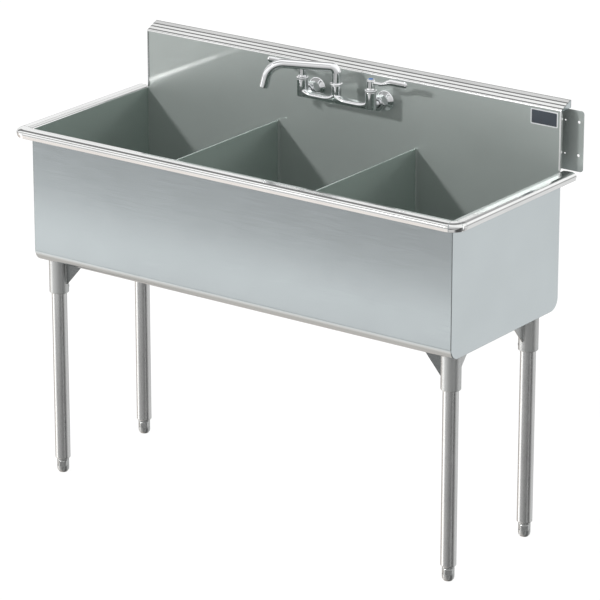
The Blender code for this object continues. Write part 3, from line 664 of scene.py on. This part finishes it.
def add_bracket():
    """A Z-shaped wall bracket: a foot on the splash's back, a web and a wall plate with holes."""
    low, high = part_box("wall_bracket")
    foot_right, web_x, corner, turn = 0.53, 0.545, 0.008, 0.0025
    foot_y = BACK_OUTSIDE + GAP + SHEET
    path = [(low.x, foot_y), (foot_right, foot_y)]
    path += arc((web_x - turn, foot_y + turn), turn, 270, 360, 5)
    path += arc((web_x + turn, WALL_PLANE - turn), turn, 180, 90, 5)
    columns = [(x, y, low.z, high.z) for x, y in path]
    for x, rise in arc((high.x - corner, 0), corner, 90, 0, 10):
        columns.append((x, WALL_PLANE, low.z + corner - rise, high.z - corner + rise))
    bm = bmesh.new()
    rows = []
    for x, y, bottom, top in columns:
        rows.append([bm.verts.new((x, y, bottom + (top - bottom) * i / 4)) for i in range(5)])
    for first, second in zip(rows, rows[1:]):
        for i in range(4):
            bm.faces.new((first[i], second[i], second[i + 1], first[i + 1]))
    bracket = stand_in("wall_bracket", bm, bracket_steel)
    inward = 1 if bracket.data.polygons[-1].normal.y < 0 else -1
    modify(bracket, "sheet", "SOLIDIFY", thickness=SHEET, offset=inward, use_even_offset=True)
    columns, heights = ((0.6425, 0.0036), (0.605, 0.002)), (0.946, 1.028)
    holes = [(radius, (x, WALL_PLANE, z)) for x, radius in columns for z in heights]
    cut(bracket, [drill(radius, 0.01, place, "Y", 32) for radius, place in holes])
    even_normals(soften_edges(bracket, 0.0003))


# ---- Legs ----
def weld_bead(bm, path):
    """A rippled bead along a seam."""
    radius, ripple, step = 0.0014, 0.14, 0.0009
    points = [Vector(point) for point in path]
    dense = []
    for first, second in zip(points, points[1:]):
        steps = max(int((second - first).length / step), 1)
        dense += [first.lerp(second, i / steps) for i in range(steps)]
    dense.append(points[-1])
    sweep(bm, dense, lambda i: radius * (1 - ripple + ripple * cos(i * pi * 0.9)), 8)


def add_gussets(word, x, y, top, inward):
    """Two triangular plates between the leg's socket and the tub, and the beads that weld them on."""
    nose, height, reach, thick, face = 0.008, 0.062, 0.074, 0.003, SOCKET_RADIUS
    corners = ((face - 0.001, 0), (reach, 0), (reach, nose))
    corners += ((face + 0.003, height), (face - 0.001, height))
    seams = (
        ((face + 0.0006, height - 0.002), (face + 0.0006, 0.003)),
        ((face + 0.002, 0.0012), (reach - 0.002, 0.0012)),
    )
    welds = bmesh.new()
    # The front-facing wing takes the painted shade steel, darkened to stand in for the dark it
    # mirrors.
    wings = ("side", inward.x, painted_shade_steel), ("back", inward.y, socket_steel)
    for where, way, steel in wings:
        way = copysign(1, way)
        plane = "XZ" if where == "side" else "YZ"
        outline = [(way * out, top - down) for out, down in corners]
        bm = made(prism, outline, thick, plane, (x, y, 0))
        wing = add_piece(f"gusset_{word}_{where}", bm, steel)
        soften_edges(wing, 0.0005)
        for side in (-1, 1):
            beside = side * (thick / 2 + 0.0004)
            for seam in seams:
                ends = []
                for out, down in seam:
                    along, across = (way * out, beside) if plane == "XZ" else (beside, way * out)
                    ends.append((x + along, y + across, top - down))
                weld_bead(welds, ends)
    ring = [(a, b, top - 0.0008) for a, b in circle(SOCKET_RADIUS, 60, (x, y))]
    weld_bead(welds, ring + ring[:1])
    add_piece(f"socket_welds_{word}", welds, weld_steel)


def add_leg(word):
    """A gusseted socket under the tub, the tube in it, and the adjustable foot in the tube's end."""
    low, high, radius = measure(f"leg_{word}")
    x, y = (low.x + high.x) / 2, (low.y + high.y) / 2
    socket_low, socket_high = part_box(f"leg_socket_{word}")
    top, bottom, cap = socket_high.z, socket_low.z, 0.006
    outer, bore = SOCKET_RADIUS, radius + GAP
    profile = [(0, top), (outer, top), (outer, bottom + 0.004)] + lower_edge(outer, bottom, 0.0016, 5)
    profile += [(bore + 0.0006, bottom), (bore, bottom + 0.0008), (bore, top - cap), (0, top - cap)]
    socket = turned(f"leg_socket_{word}", profile, socket_steel, (x, y, 0))
    inward = Vector((-1 if x > 0 else 1, -1 if y > 0 else 1, 0)).normalized()
    hole = drill(0.0034, 0.012, centre_of(f"leg_set_screw_{word}"), segments=32)
    hole.rotation_euler = inward.to_track_quat("Z", "Y").to_euler()
    cut(socket, [hole])
    add_gussets(word, x, y, top, inward)

    inner, neck = radius - LEG_WALL, 0.0012
    profile = [(radius, high.z), (radius, low.z + 0.006), (radius, low.z + 0.0035)]
    profile += lower_edge(radius, low.z, 0.003, 6)
    profile += [(inner - neck, low.z), (inner - neck, low.z + 0.002)]
    profile += [(inner, low.z + 0.004), (inner, high.z)]
    turned(f"leg_{word}", profile, tube_steel, (x, y, 0), closed=True)
    add_foot(word, x, y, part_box(f"foot_{word}")[1].z)


def add_foot(word, x, y, stem_top):
    """A bullet foot: threaded stem, a collar with six wrench flats, and a tapered nose on a pad."""
    stem, body, body_top = 0.006, 0.015, 0.045
    pitch = 0.0018
    turns = int((stem_top - 0.004 - body_top) / pitch)
    flats, flats_low, flats_high, edge = 0.0138, 0.0175, 0.03, 0.0001
    profile = [(0, stem_top), (stem - 0.0012, stem_top), (stem, stem_top - 0.0012)]
    profile += thread(stem, 0.0007, stem_top - 0.0016, pitch, turns)
    profile += [(stem, body_top), (body - 0.002, body_top), (body, body_top - 0.001)]
    profile += [(body, 0.0335), (body - 0.0006, 0.0325), (body - 0.0006, 0.0315), (body, 0.0305)]
    profile += [(body, end + shift) for end in (flats_high, flats_low) for shift in (edge, -edge)]
    profile += [(body, 0.01), (body - 0.0008, 0.0066)]
    profile += arc((body - 0.0038, 0.0062), 0.003, 0, -80, 6)
    profile += [(body - 0.0042, 0.0006), (body - 0.0048, 0), (0, 0)]

    def wrench_flats(angle, radius, height):
        if flats_low < height < flats_high:
            return min(radius, hexagon(angle + pi / 6, flats))
        return radius

    turned(f"foot_{word}", profile, foot_steel, (x, y, 0), angle=30, shape=wrench_flats)


# ---- Drains ----
def add_drain(word):
    """Flanged drain cup with a crossbar over its outlet, its clamp nut and its strainer."""
    place = centre_of(f"drain_body_{word}").xy.to_3d()
    seat = FLOOR_TOP + GAP
    throat, outside = DRAIN_THROAT, DRAIN_THROAT + DRAIN_WALL
    pan, tail = seat - DRAIN_DEPTH, TAILPIECE
    tail_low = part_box(f"drain_body_{word}")[0].z
    flange = ((0.0045, 0.0022), (0.002, 0.0018), (0.0005, 0.0009), (0, 0))
    profile = [(DRAIN_FLANGE - inward, seat + up) for inward, up in flange] + [(outside, seat)]
    profile += thread(outside, 0.0006, seat - 0.004, 0.0018, 12)
    profile += [(outside, pan + 0.003), (outside - 0.003, pan), (tail + 0.005, pan - 0.009)]
    profile += [(tail, pan - 0.013), (tail, tail_low + 0.001), (tail - 0.0004, tail_low)]
    inner = tail - 0.0012
    profile += [(inner, tail_low), (inner, pan - 0.011), (tail + 0.003, pan - 0.0065)]
    profile += [(throat - 0.006, pan + 0.0015), (throat - 0.001, pan + 0.0045), (throat, pan + 0.007)]
    profile += [(throat, seat - 0.006)] + arc((throat + 0.0062, seat - 0.004), 0.0062, 180, 90, 6)
    bm = made(lathe, profile, 96, closed=True)
    for turn in (0, pi / 2):
        start = len(bm.verts)
        bar = rounded_rectangle((-tail - 0.001, -0.0012), (tail + 0.001, 0.0012), 0.0008, 3)
        prism(bm, bar, 0.0024, "XZ")
        moved(bm, Matrix.Translation((0, 0, pan - 0.0135)) @ Matrix.Rotation(turn, 4, "Z"), start)
    stand_in(f"drain_body_{word}", bm, drain_steel, place)

    low, high, rim = measure(f"drain_nut_{word}")
    bore = outside + GAP

    def notched(angle, radius, height):
        notch = radius > bore + 0.001 and cos(8 * angle) > 0.55
        return radius - 0.0028 * notch

    profile = [(rim, high.z), (rim, low.z + 0.002), (rim - 0.0015, low.z)]
    profile += [(bore, low.z), (bore, high.z)]
    turned(f"drain_nut_{word}", profile, drain_steel, place, 96, angle=30, closed=True, shape=notched)
    add_strainer(word, place)


def add_strainer(word, place):
    """A round plate with rings of holes, a turned-down edge and a small lifting knob."""
    low, high, radius = measure(f"strainer_{word}")
    plate, thick = low.z + 0.0022, 0.0012
    # (radius of the ring, count, radius of its holes)
    hole_rings = ((0.0125, 8, 0.0021), (0.0195, 14, 0.0023))
    hole_rings += ((0.0265, 20, 0.0023), (0.0335, 26, 0.0023))
    bm = bmesh.new()
    edges = []

    def ring_of(radius, count, centre=(0, 0)):
        verts = [bm.verts.new((a, b, plate)) for a, b in circle(radius, count, centre)]
        edges.extend(bm.edges.new(pair) for pair in zip(verts, verts[1:] + verts[:1]))

    ring_of(radius - 0.002, 96)
    for ring_radius, count, hole in hole_rings:
        for centre in circle(ring_radius, count, start=0.5 if count % 4 == 2 else 0):
            ring_of(hole, 12, centre)
    bmesh.ops.triangle_fill(bm, edges=edges, use_beauty=True)
    extruded = bmesh.ops.extrude_face_region(bm, geom=list(bm.faces))["geom"]
    below = [item for item in extruded if isinstance(item, bmesh.types.BMVert)]
    bmesh.ops.translate(bm, vec=(0, 0, -thick), verts=below)
    edge = [(radius - 0.0035, plate), (radius - 0.0012, plate - 0.0003), (radius, plate - 0.0014)]
    edge += [(radius, low.z), (radius - 0.0012, low.z), (radius - 0.0014, plate - 0.0014)]
    edge.append((radius - 0.0035, plate - thick))
    lathe(bm, edge, 96, closed=True)
    knob = [(0, 0), (0.003, 0.0002), (0.0062, 0.0012), (0.0078, 0.003), (0.008, 0.0045)]
    knob += [(0.0066, 0.0068), (0.0042, 0.0088), (0.0037, 0.011)]
    knob = [(out, high.z - down) for out, down in knob]
    lathe(bm, knob + [(0.0042, plate + 0.001), (0.0056, plate), (0, plate)], 40)
    stand_in(f"strainer_{word}", bm, strainer_steel, place, angle=30)


# ---- Faucet ----
SPOUT_SWING = radians(69.5)
SPOUT_TURN_DOWN = radians(77)
SPOUT_RADIUS = 0.0115
SPOUT_AXIS_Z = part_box("spout")[1].z - SPOUT_RADIUS
SPOUT_REACH = 0.183
SPOUT_ELBOW = 0.014
SPOUT_BEND = 0.05
SPOUT_TIP_Z = 1.0185
NOZZLE_LENGTH = 0.014
POST = centre_of("spout_nut")
VALVE_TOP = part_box("faucet_body")[1].z
VALVE_BOTTOM = 0.993
VALVE_RADIUS = 0.014
POST_RADIUS = 0.012
WATERWAY_Z = centre_of("hot_escutcheon").z


def add_faucet_body():
    """Valve bodies and the spout's post on a flat-bottomed waterway that dips between them."""
    bm = bmesh.new()
    left_valve, right_valve = centre_of("hot_bonnet").x, centre_of("cold_bonnet").x
    for x, radius in ((left_valve, VALVE_RADIUS), (POST.x, POST_RADIUS), (right_valve, VALVE_RADIUS)):
        start = len(bm.verts)
        edge = lower_edge(radius, VALVE_BOTTOM, 0.003, 5)
        lathe(bm, [(0, VALVE_TOP), (radius, VALVE_TOP), *edge, (0, VALVE_BOTTOM)], 64)
        moved(bm, Matrix.Translation((x, POST.y, 0)), start)
    steps = 24
    low, high, half = 0.0135, 0.027, 0.012
    shoulder, lean, foot = 0.005, 0.0012, VALVE_BOTTOM + 0.0002
    for left, right in ((left_valve, POST.x), (POST.x, right_valve)):
        rings = []
        for i in range(steps + 1):
            along = i / steps
            top = VALVE_BOTTOM + low + (high - low) * abs(2 * along - 1) ** 4
            outline = arc((half - shoulder, top - shoulder), shoulder, 0, 90, 5)
            outline += arc((shoulder - half, top - shoulder), shoulder, 90, 180, 5)
            outline += [(-half, foot + 0.006), (lean - half, foot + 0.001)]
            outline.append((lean + 0.0008 - half, foot))
            outline += [(-a, b) for a, b in outline[:-4:-1]]
            rings.append([(left + (right - left) * along, POST.y + a, b) for a, b in outline])
        loft(bm, rings)
    inlet, inlet_length = 0.0095, SPLASH_FACE - 0.0215 - POST.y
    for x in (left_valve, right_valve):
        start = len(bm.verts)
        lathe(bm, [(0, 0), (inlet, 0), (inlet, inlet_length), (0, inlet_length)], 48)
        level = Matrix.Translation((x, POST.y, WATERWAY_Z)) @ Matrix.Rotation(-pi / 2, 4, "X")
        moved(bm, level, start)
    fuse(stand_in("faucet_body", bm, cast_chrome), 0.0008, 8)


def add_nut(node, bore, material, collar):
    """A chamfered hexagon nut with its axis along Y; collar is the depth of a round shoulder."""
    low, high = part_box(node)
    corner = max(high.x - low.x, high.z - low.z) / 2
    flat, length = corner * cos(pi / 6), high.y - low.y
    chamfer, last = min(corner - flat, 0.003), length - collar
    profile = [(flat - 0.001, 0), (flat, 0.0003), (corner, chamfer)]
    profile += [(corner, last - chamfer), (flat, last)]
    if collar:
        profile += [(flat, length - 0.001), (flat - 0.001, length)]
    profile += [(bore, length), (bore, 0)]

    def shape(angle, radius, height):
        return min(radius, hexagon(angle, flat)) if radius > flat else radius

    fine = []
    for (r0, z0), (r1, z1) in zip(profile, profile[1:]):
        count = 8 if r0 != r1 and max(r0, r1) > flat and z0 != z1 else 1
        fine += [(r0 + (r1 - r0) * i / count, z0 + (z1 - z0) * i / count) for i in range(count)]
    fine.append(profile[-1])
    place = ((low.x + high.x) / 2, low.y, (low.z + high.z) / 2)
    turned(node, fine, material, place, 96, TO_WALL, 24, closed=True, shape=shape)


def add_inlet(word):
    """Between the body and the wall: escutcheon, union nut, threaded shank and lock nut."""
    low, high, radius = measure(f"{word}_escutcheon")
    centre, depth, bore = (low + high) / 2, high.y - low.y, 0.0108
    profile = [(bore, 0), (bore + 0.003, 0), (bore + 0.0042, 0.0006)]
    profile += [(bore + 0.0055, 0.0022), (bore + 0.0085, 0.004), (radius - 0.002, depth - 0.0032)]
    profile += [(radius - 0.0006, depth - 0.0022), (radius, depth - 0.001)]
    profile += [(radius, depth), (bore, depth)]
    place = (centre.x, low.y, centre.z)
    turned(f"{word}_escutcheon", profile, chrome, place, 96, TO_WALL, closed=True)

    low, high, radius = measure(f"{word}_shank")
    length, inner, depth, pitch, plain = high.y - low.y, 0.0075, 0.0009, 0.0018, 0.022
    turns = ceil((length - 0.0026 - plain) / pitch)
    profile = [(inner, 0), (radius - 0.0008, 0), (radius, 0.0008), (radius, plain)]
    profile += thread(radius, depth, plain, -pitch, turns)
    profile += [(radius - depth, length), (inner, length)]
    place = (centre.x, low.y, centre.z)
    turned(f"{word}_shank", profile, chrome, place, 48, TO_WALL, closed=True)
    add_nut(f"{word}_union_nut", bore, chrome, 0.004)
    add_nut(f"{word}_lock_nut", bore, tube_steel, 0)


def add_lever(word, side, x, y, stem_top):
    """A hub over the valve's stem, and a blade that climbs from a neck to a tall, rounded paddle."""
    low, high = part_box(f"{word}_lever")
    reach = high.x - x if side > 0 else x - low.x
    hub, hub_top, bore = 0.0103, centre_of(f"{word}_index").z - 0.0021, 0.0043
    bm = bmesh.new()
    profile = [(0, hub_top), (hub - 0.0012, hub_top), (hub, hub_top - 0.0012), (hub, low.z + 0.0045)]
    profile += [(hub + 0.0012, low.z + 0.001), (hub + 0.0012, low.z), (bore, low.z)]
    profile += [(bore, stem_top + 0.0005), (0, stem_top + 0.0005)]
    lathe(bm, profile, 64)
    moved(bm, Matrix.Translation((x, y, 0)))
    blade_z, rise, neck, paddle = 1.0605, 0.0095, 0.0046, 0.0078
    root, climb_start, climb_length = 0.006, 0.028, 0.032
    steps, sides, squareness = 40, 28, 0.8
    rings = []
    for i in range(steps + 1):
        out = root + (reach - 0.0005 - root) * i / steps
        climb = min(max((out - climb_start) / climb_length, 0), 1)
        climb = climb * climb * (3 - 2 * climb)
        tall, wide = neck + (paddle - neck) * climb, 0.0036 - 0.0014 * climb
        end = max((out - (reach - paddle)) / paddle, 0)
        close = sqrt(max(1 - end**2, 0.002))
        ring = []
        for a, b in circle(1, sides):
            across = wide * copysign(abs(a) ** squareness, a) * max(close, 0.35)
            upward = tall * copysign(abs(b) ** squareness, b) * close
            ring.append((x + side * out, y + across, blade_z + rise * climb + upward))
        rings.append(ring)
    loft(bm, rings)
    fuse(stand_in(f"{word}_lever", bm, chrome), 0.0006, 5)


def add_handle(word, side, cap_material):
    """Bonnet, wrist-blade lever and index cap of one valve."""
    low, high, radius = measure(f"{word}_bonnet")
    x, y = (low.x + high.x) / 2, (low.y + high.y) / 2
    crown, stem, round_off = low.z + 0.0042, 0.004, 0.0012
    profile = [(0, high.z), (stem - 0.0004, high.z), (stem, high.z - 0.0004), (stem, crown)]
    profile.append((radius - 0.0022, crown))
    profile += arc((radius - round_off, crown - round_off), round_off, 90, 0, 4)
    profile += lower_edge(radius, low.z, round_off, 4) + [(0, low.z)]
    turned(f"{word}_bonnet", profile, chrome, (x, y, 0))
    add_lever(word, side, x, y, high.z)

    low, high, radius = measure(f"{word}_index")
    base = low.z
    profile = [(0, base + 0.0016), (radius - 0.0022, base + 0.0016), (radius - 0.0008, base + 0.0019)]
    profile += [(radius, base + 0.001), (radius, base), (0, base)]
    turned(f"{word}_index", profile, cap_ring, (x, y, 0), 56)
    dome, foot = radius - 0.0018, base + 0.0014
    profile = [(0, high.z), (dome * 0.5, high.z - 0.0003), (dome * 0.82, high.z - 0.0009)]
    bm = made(lathe, profile + [(dome, high.z - 0.0018), (dome, foot), (0, foot)], 56)
    add_piece(f"{word}_cap", bm, cap_material, f"{word}_handle", (x, y, 0))


def spout_path():
    """The centre line as (out, height from the spout's axis), up to the nozzle."""
    turn = SPOUT_TURN_DOWN
    drop = SPOUT_AXIS_Z - SPOUT_TIP_Z - SPOUT_BEND * (1 - cos(turn))
    straight = drop / sin(turn)
    bend_start = SPOUT_REACH - SPOUT_BEND * sin(turn) - straight * cos(turn)
    base = VALVE_TOP + 0.001 - SPOUT_AXIS_Z
    path = [(0, base), (0, base + 0.004), (0, -SPOUT_ELBOW - 0.001)]
    path += arc((SPOUT_ELBOW, -SPOUT_ELBOW), SPOUT_ELBOW, 180, 90, 12)
    path += [(SPOUT_ELBOW + (bend_start - SPOUT_ELBOW) * i / 6, 0) for i in range(1, 6)]
    path += arc((bend_start, -SPOUT_BEND), SPOUT_BEND, 90, 90 - degrees(turn), 20)
    out, height = path[-1]
    run = straight - NOZZLE_LENGTH
    path += [(out + run * f * cos(turn), height - run * f * sin(turn)) for f in (0.5, 1.0)]
    return path


def add_spout():
    """The bent tube, the ring that holds it in the post, and the nozzle."""
    heading = Vector((-sin(SPOUT_SWING), -cos(SPOUT_SWING), 0))
    foot = Vector((POST.x, POST.y, 0))
    path = []
    for out, height in spout_path():
        path.append(foot + Vector((0, 0, SPOUT_AXIS_Z + height)) + heading * out)
    stand_in("spout", made(sweep, path, SPOUT_RADIUS, 56), chrome)

    low, high, radius = measure("spout_nut")
    bore = SPOUT_RADIUS + GAP
    profile = [(bore, high.z), (radius - 0.0016, high.z), (radius - 0.0004, high.z - 0.0009)]
    profile += [(radius, high.z - 0.0018), (radius, low.z + 0.0006)]
    profile += [(radius - 0.0006, low.z), (bore, low.z)]
    turned("spout_nut", profile, chrome, foot, closed=True)

    outlet, top = SPOUT_RADIUS - 0.0026, NOZZLE_LENGTH - 0.0001
    profile = [(SPOUT_RADIUS, top), (SPOUT_RADIUS, 0.0014)] + lower_edge(SPOUT_RADIUS, 0, 0.0013, 4)
    profile += [(outlet, 0), (outlet - 0.0005, 0.0008), (outlet - 0.0005, top)]
    bm = made(lathe, profile, 64, closed=True)
    for offset in (-0.0045, 0, 0.0045):
        for turn in (0, pi / 2):
            start = len(bm.verts)
            half = sqrt(outlet**2 - offset**2)
            bar = [(-half, 0.003), (half, 0.003), (half, 0.008), (-half, 0.008)]
            prism(bm, bar, 0.0005, "XZ", (0, offset, 0))
            moved(bm, Matrix.Rotation(turn, 4, "Z"), start)
    axis = Vector((0, 0, sin(SPOUT_TURN_DOWN))) - heading * cos(SPOUT_TURN_DOWN)
    tip = foot + Vector((0, 0, SPOUT_TIP_Z)) + heading * SPOUT_REACH
    stand_in("spout_tip", bm, chrome, tip, axis.to_track_quat("Z", "Y").to_euler())


def add_faucet():
    add_faucet_body()
    for word, side, cap in (("hot", -1, red_cap), ("cold", 1, blue_cap)):
        add_inlet(word)
        add_handle(word, side, cap)
    add_spout()


# ---- Stage ----
FLOOR_GLOW = 0.93
BACKDROP, SKY_LIGHT, DARKEST, BRIGHTEST = 1.0, 0.5, 0.03, 2.0
WARM_GREEN, WARM_BLUE = 0.09, 0.15  # what full warmth takes from a light's green and blue
SIDE_BLEND = 0.2
# (turn about X in degrees, brightness, warmth): 0 is straight back, 90 up, 180 forward, 270 down.
LEFT_LIGHTS = (
    (0, 0.75), (12, 1.05), (29, 1.05), (36, 0.24), (64, 0.24), (71, 0.8), (85, 0.95), (91, 1.35),
    (112, 1.4), (119, 0.4), (138, 0.4), (146, 1.2), (180, 1.1), (188, 0.72), (195, 0.7), (197, 0.3),
    (201, 0.3), (204, 0.58), (212, 0.5), (220, 1.05, 0.3), (239, 1.05, 0.9), (249, 0.76, 1),
    (314, 0.7, 1), (324, 0.3), (345, 0.6),
)
RIGHT_LIGHTS = (
    (4, 0.45), (14, 1.2), (60, 1.2), (120, 1.1), (160, 0.7), (195, 0.5), (203, 0.5), (208, 0.05),
    (219, 0.05), (226, 0.75), (236, 0.75), (244, 0.1), (280, 0.1), (312, 0.4), (325, 0.88), (342, 0.9),
    (350, 0.45),
)
# A bright patch for the left rim corner; start and full are cosines from its direction.
PATCH_DIRECTION, PATCH_START, PATCH_FULL, PATCH_GAIN = (-0.84, -0.42, -0.33), 0.94, 0.985, 1.3
# The streak at the backsplash's left end: name, share of its length, width, power.
GLINTS = (
    ("long", 1, 0.008, 0.0044), ("middle", 0.75, 0.006, 0.005), ("short", 0.45, 0.003, 0.0026),
)
GLINT_ENDS = ((-0.624, 0.926), (-0.325, 1.062))
GLINT_DISTANCE = 0.07


def add_floor():
    """A wide white floor that the metal doesn't mirror."""
    half = 60
    bm = bmesh.new()
    corners = ((-half, -half), (half, -half), (half, half), (-half, half))
    bm.faces.new([bm.verts.new((x, y, 0)) for x, y in corners])
    floor = add_object("floor", plain_mesh(bm, "floor"))
    mat, tree, shader = new_material("floor")
    set_inputs(tree, shader, {
        "Base Color": (0.12, 0.12, 0.12, 1), "Roughness": 0.9,
        "Emission Color": (1, 1, 1, 1), "Emission Strength": FLOOR_GLOW,
    })
    floor.data.materials.append(mat)
    floor.visible_glossy = False


def add_world():
    """Long soft lights for the metal to mirror, a white backdrop, and even light for the rest."""
    world = bpy.data.worlds.new("studio")
    bpy.context.scene.world = world
    world.use_nodes = True
    tree = world.node_tree
    direction = add_node(tree, "TexCoord").outputs["Generated"]
    parts = add_node(tree, "SeparateXYZ", {"Vector": direction}).outputs

    def math_node(operation, *values):
        return add_node(tree, "Math", dict(enumerate(values)), operation=operation).outputs[0]

    def vector_node(operation, inputs, output=0):
        return add_node(tree, "VectorMath", inputs, operation=operation).outputs[output]

    def smooth_step(value, low, high):
        inputs = {"From Min": low, "From Max": high, "Value": value}
        node = add_node(tree, "MapRange", inputs, interpolation_type="SMOOTHSTEP")
        return node.outputs["Result"]

    def blend(factor, first, second):
        inputs = {"Factor": factor, "A": first, "B": second}
        return add_node(tree, "Mix", inputs, data_type="VECTOR").outputs["Result"]

    def strip_lights(lights):
        ramp = add_node(tree, "ValToRGB", {"Fac": turn})
        stops = ramp.color_ramp.elements
        stops.remove(stops[1])
        for angle, value, *warmth in lights + ((360, lights[0][1]),):
            warm = warmth[0] if warmth else 0
            shade = value / BRIGHTEST
            stop = stops.new(angle / 360)
            stop.color = (shade, shade * (1 - WARM_GREEN * warm), shade * (1 - WARM_BLUE * warm), 1)
        stops.remove(stops[0])
        return vector_node("SCALE", {0: ramp.outputs["Color"], "Scale": BRIGHTEST})

    angle = math_node("ARCTAN2", parts["Z"], parts["Y"])
    turn = math_node("FRACT", math_node("ADD", math_node("DIVIDE", angle, FULL_TURN), 1.0))
    side = smooth_step(parts["X"], -SIDE_BLEND, SIDE_BLEND)
    value = blend(side, strip_lights(LEFT_LIGHTS), strip_lights(RIGHT_LIGHTS))
    toward = Vector(PATCH_DIRECTION).normalized()
    near = vector_node("DOT_PRODUCT", {0: direction, 1: toward}, "Value")
    glow = math_node("MULTIPLY", smooth_step(near, PATCH_START, PATCH_FULL), PATCH_GAIN)
    value = vector_node("ADD", {0: value, 1: glow})
    value = vector_node("MAXIMUM", {0: value, 1: (DARKEST,) * 3})
    path = add_node(tree, "LightPath").outputs
    for ray, plain in (("Is Diffuse Ray", SKY_LIGHT), ("Is Camera Ray", BACKDROP)):
        value = blend(path[ray], value, (plain,) * 3)
    tree.links.new(value, tree.nodes["Background"].inputs["Color"])


def add_light(name, kind, energy, place, toward, **settings):
    data = set_up(bpy.data.lights.new(name, kind), settings)
    data.energy = energy
    rotation = (Vector(toward) - Vector(place)).to_track_quat("-Z", "Y").to_euler()
    light = add_object(name, data, place, rotation)
    light.visible_camera = False
    return light


def add_lights():
    """A sun for the hard shadows, a low strip for the legs, and the lamps behind the streak."""
    middle = Vector((0, 0, 0.85))
    sun_from = middle + Vector((-0.44, -0.8, 0.42)) * 6
    add_light("key", "SUN", 1.38, sun_from, middle, angle=radians(4))
    low_strip = {"shape": "RECTANGLE", "size": 2.6, "size_y": 0.16}
    add_light("low_strip", "AREA", 0.85, (-0.95, -1.6, 0.06), (-0.95, 0, 0.3), **low_strip)
    start, end = (Vector((x, SPLASH_FACE - GLINT_DISTANCE, z)) for x, z in GLINT_ENDS)
    way = end - start
    for name, reach, width, energy in GLINTS:
        place = start.lerp(end, reach / 2)
        glint = add_light(
            f"glint_{name}", "AREA", energy, place, place + Vector((0, 1, 0)), color=(1, 0.92, 0.94),
            shape="RECTANGLE", size=way.length * reach, size_y=width, spread=radians(13),
        )
        glint.rotation_euler = (pi / 2, -atan2(way.z, way.x), 0)
        glint.visible_glossy = False


def add_camera():
    flat = cos(ELEVATION)
    back = Vector((sin(AZIMUTH) * flat, -cos(AZIMUTH) * flat, sin(ELEVATION)))
    data = set_up(bpy.data.cameras.new("camera"), {"sensor_width": 36, "lens": LENS, "clip_end": 200})
    camera = add_object("camera", data, TARGET + back * DISTANCE)
    camera.rotation_mode = "QUATERNION"
    camera.rotation_quaternion = (-back).to_track_quat("-Z", "Y")
    bpy.context.scene.camera = camera


def finish_carried_nodes():
    """CAD nodes whose own shape is kept get their finish here."""
    kept = {"drain_gasket": rubber, "leg_insert": plastic, "leg_set_screw": tube_steel}
    for name, obj in frame["nodes"].items():
        for start, material in kept.items():
            if name.startswith(start):
                obj.data.materials.clear()
                obj.data.materials.append(material)


add_camera()
add_tub()
add_label()
add_bracket()
for leg_word in ("front_left", "front_right", "rear_left", "rear_right"):
    add_leg(leg_word)
for drain_word in ("left", "centre", "right"):
    add_drain(drain_word)
add_faucet()
finish_carried_nodes()
add_floor()
add_world()
add_lights()
bpy.context.scene.view_settings.view_transform = "Standard"
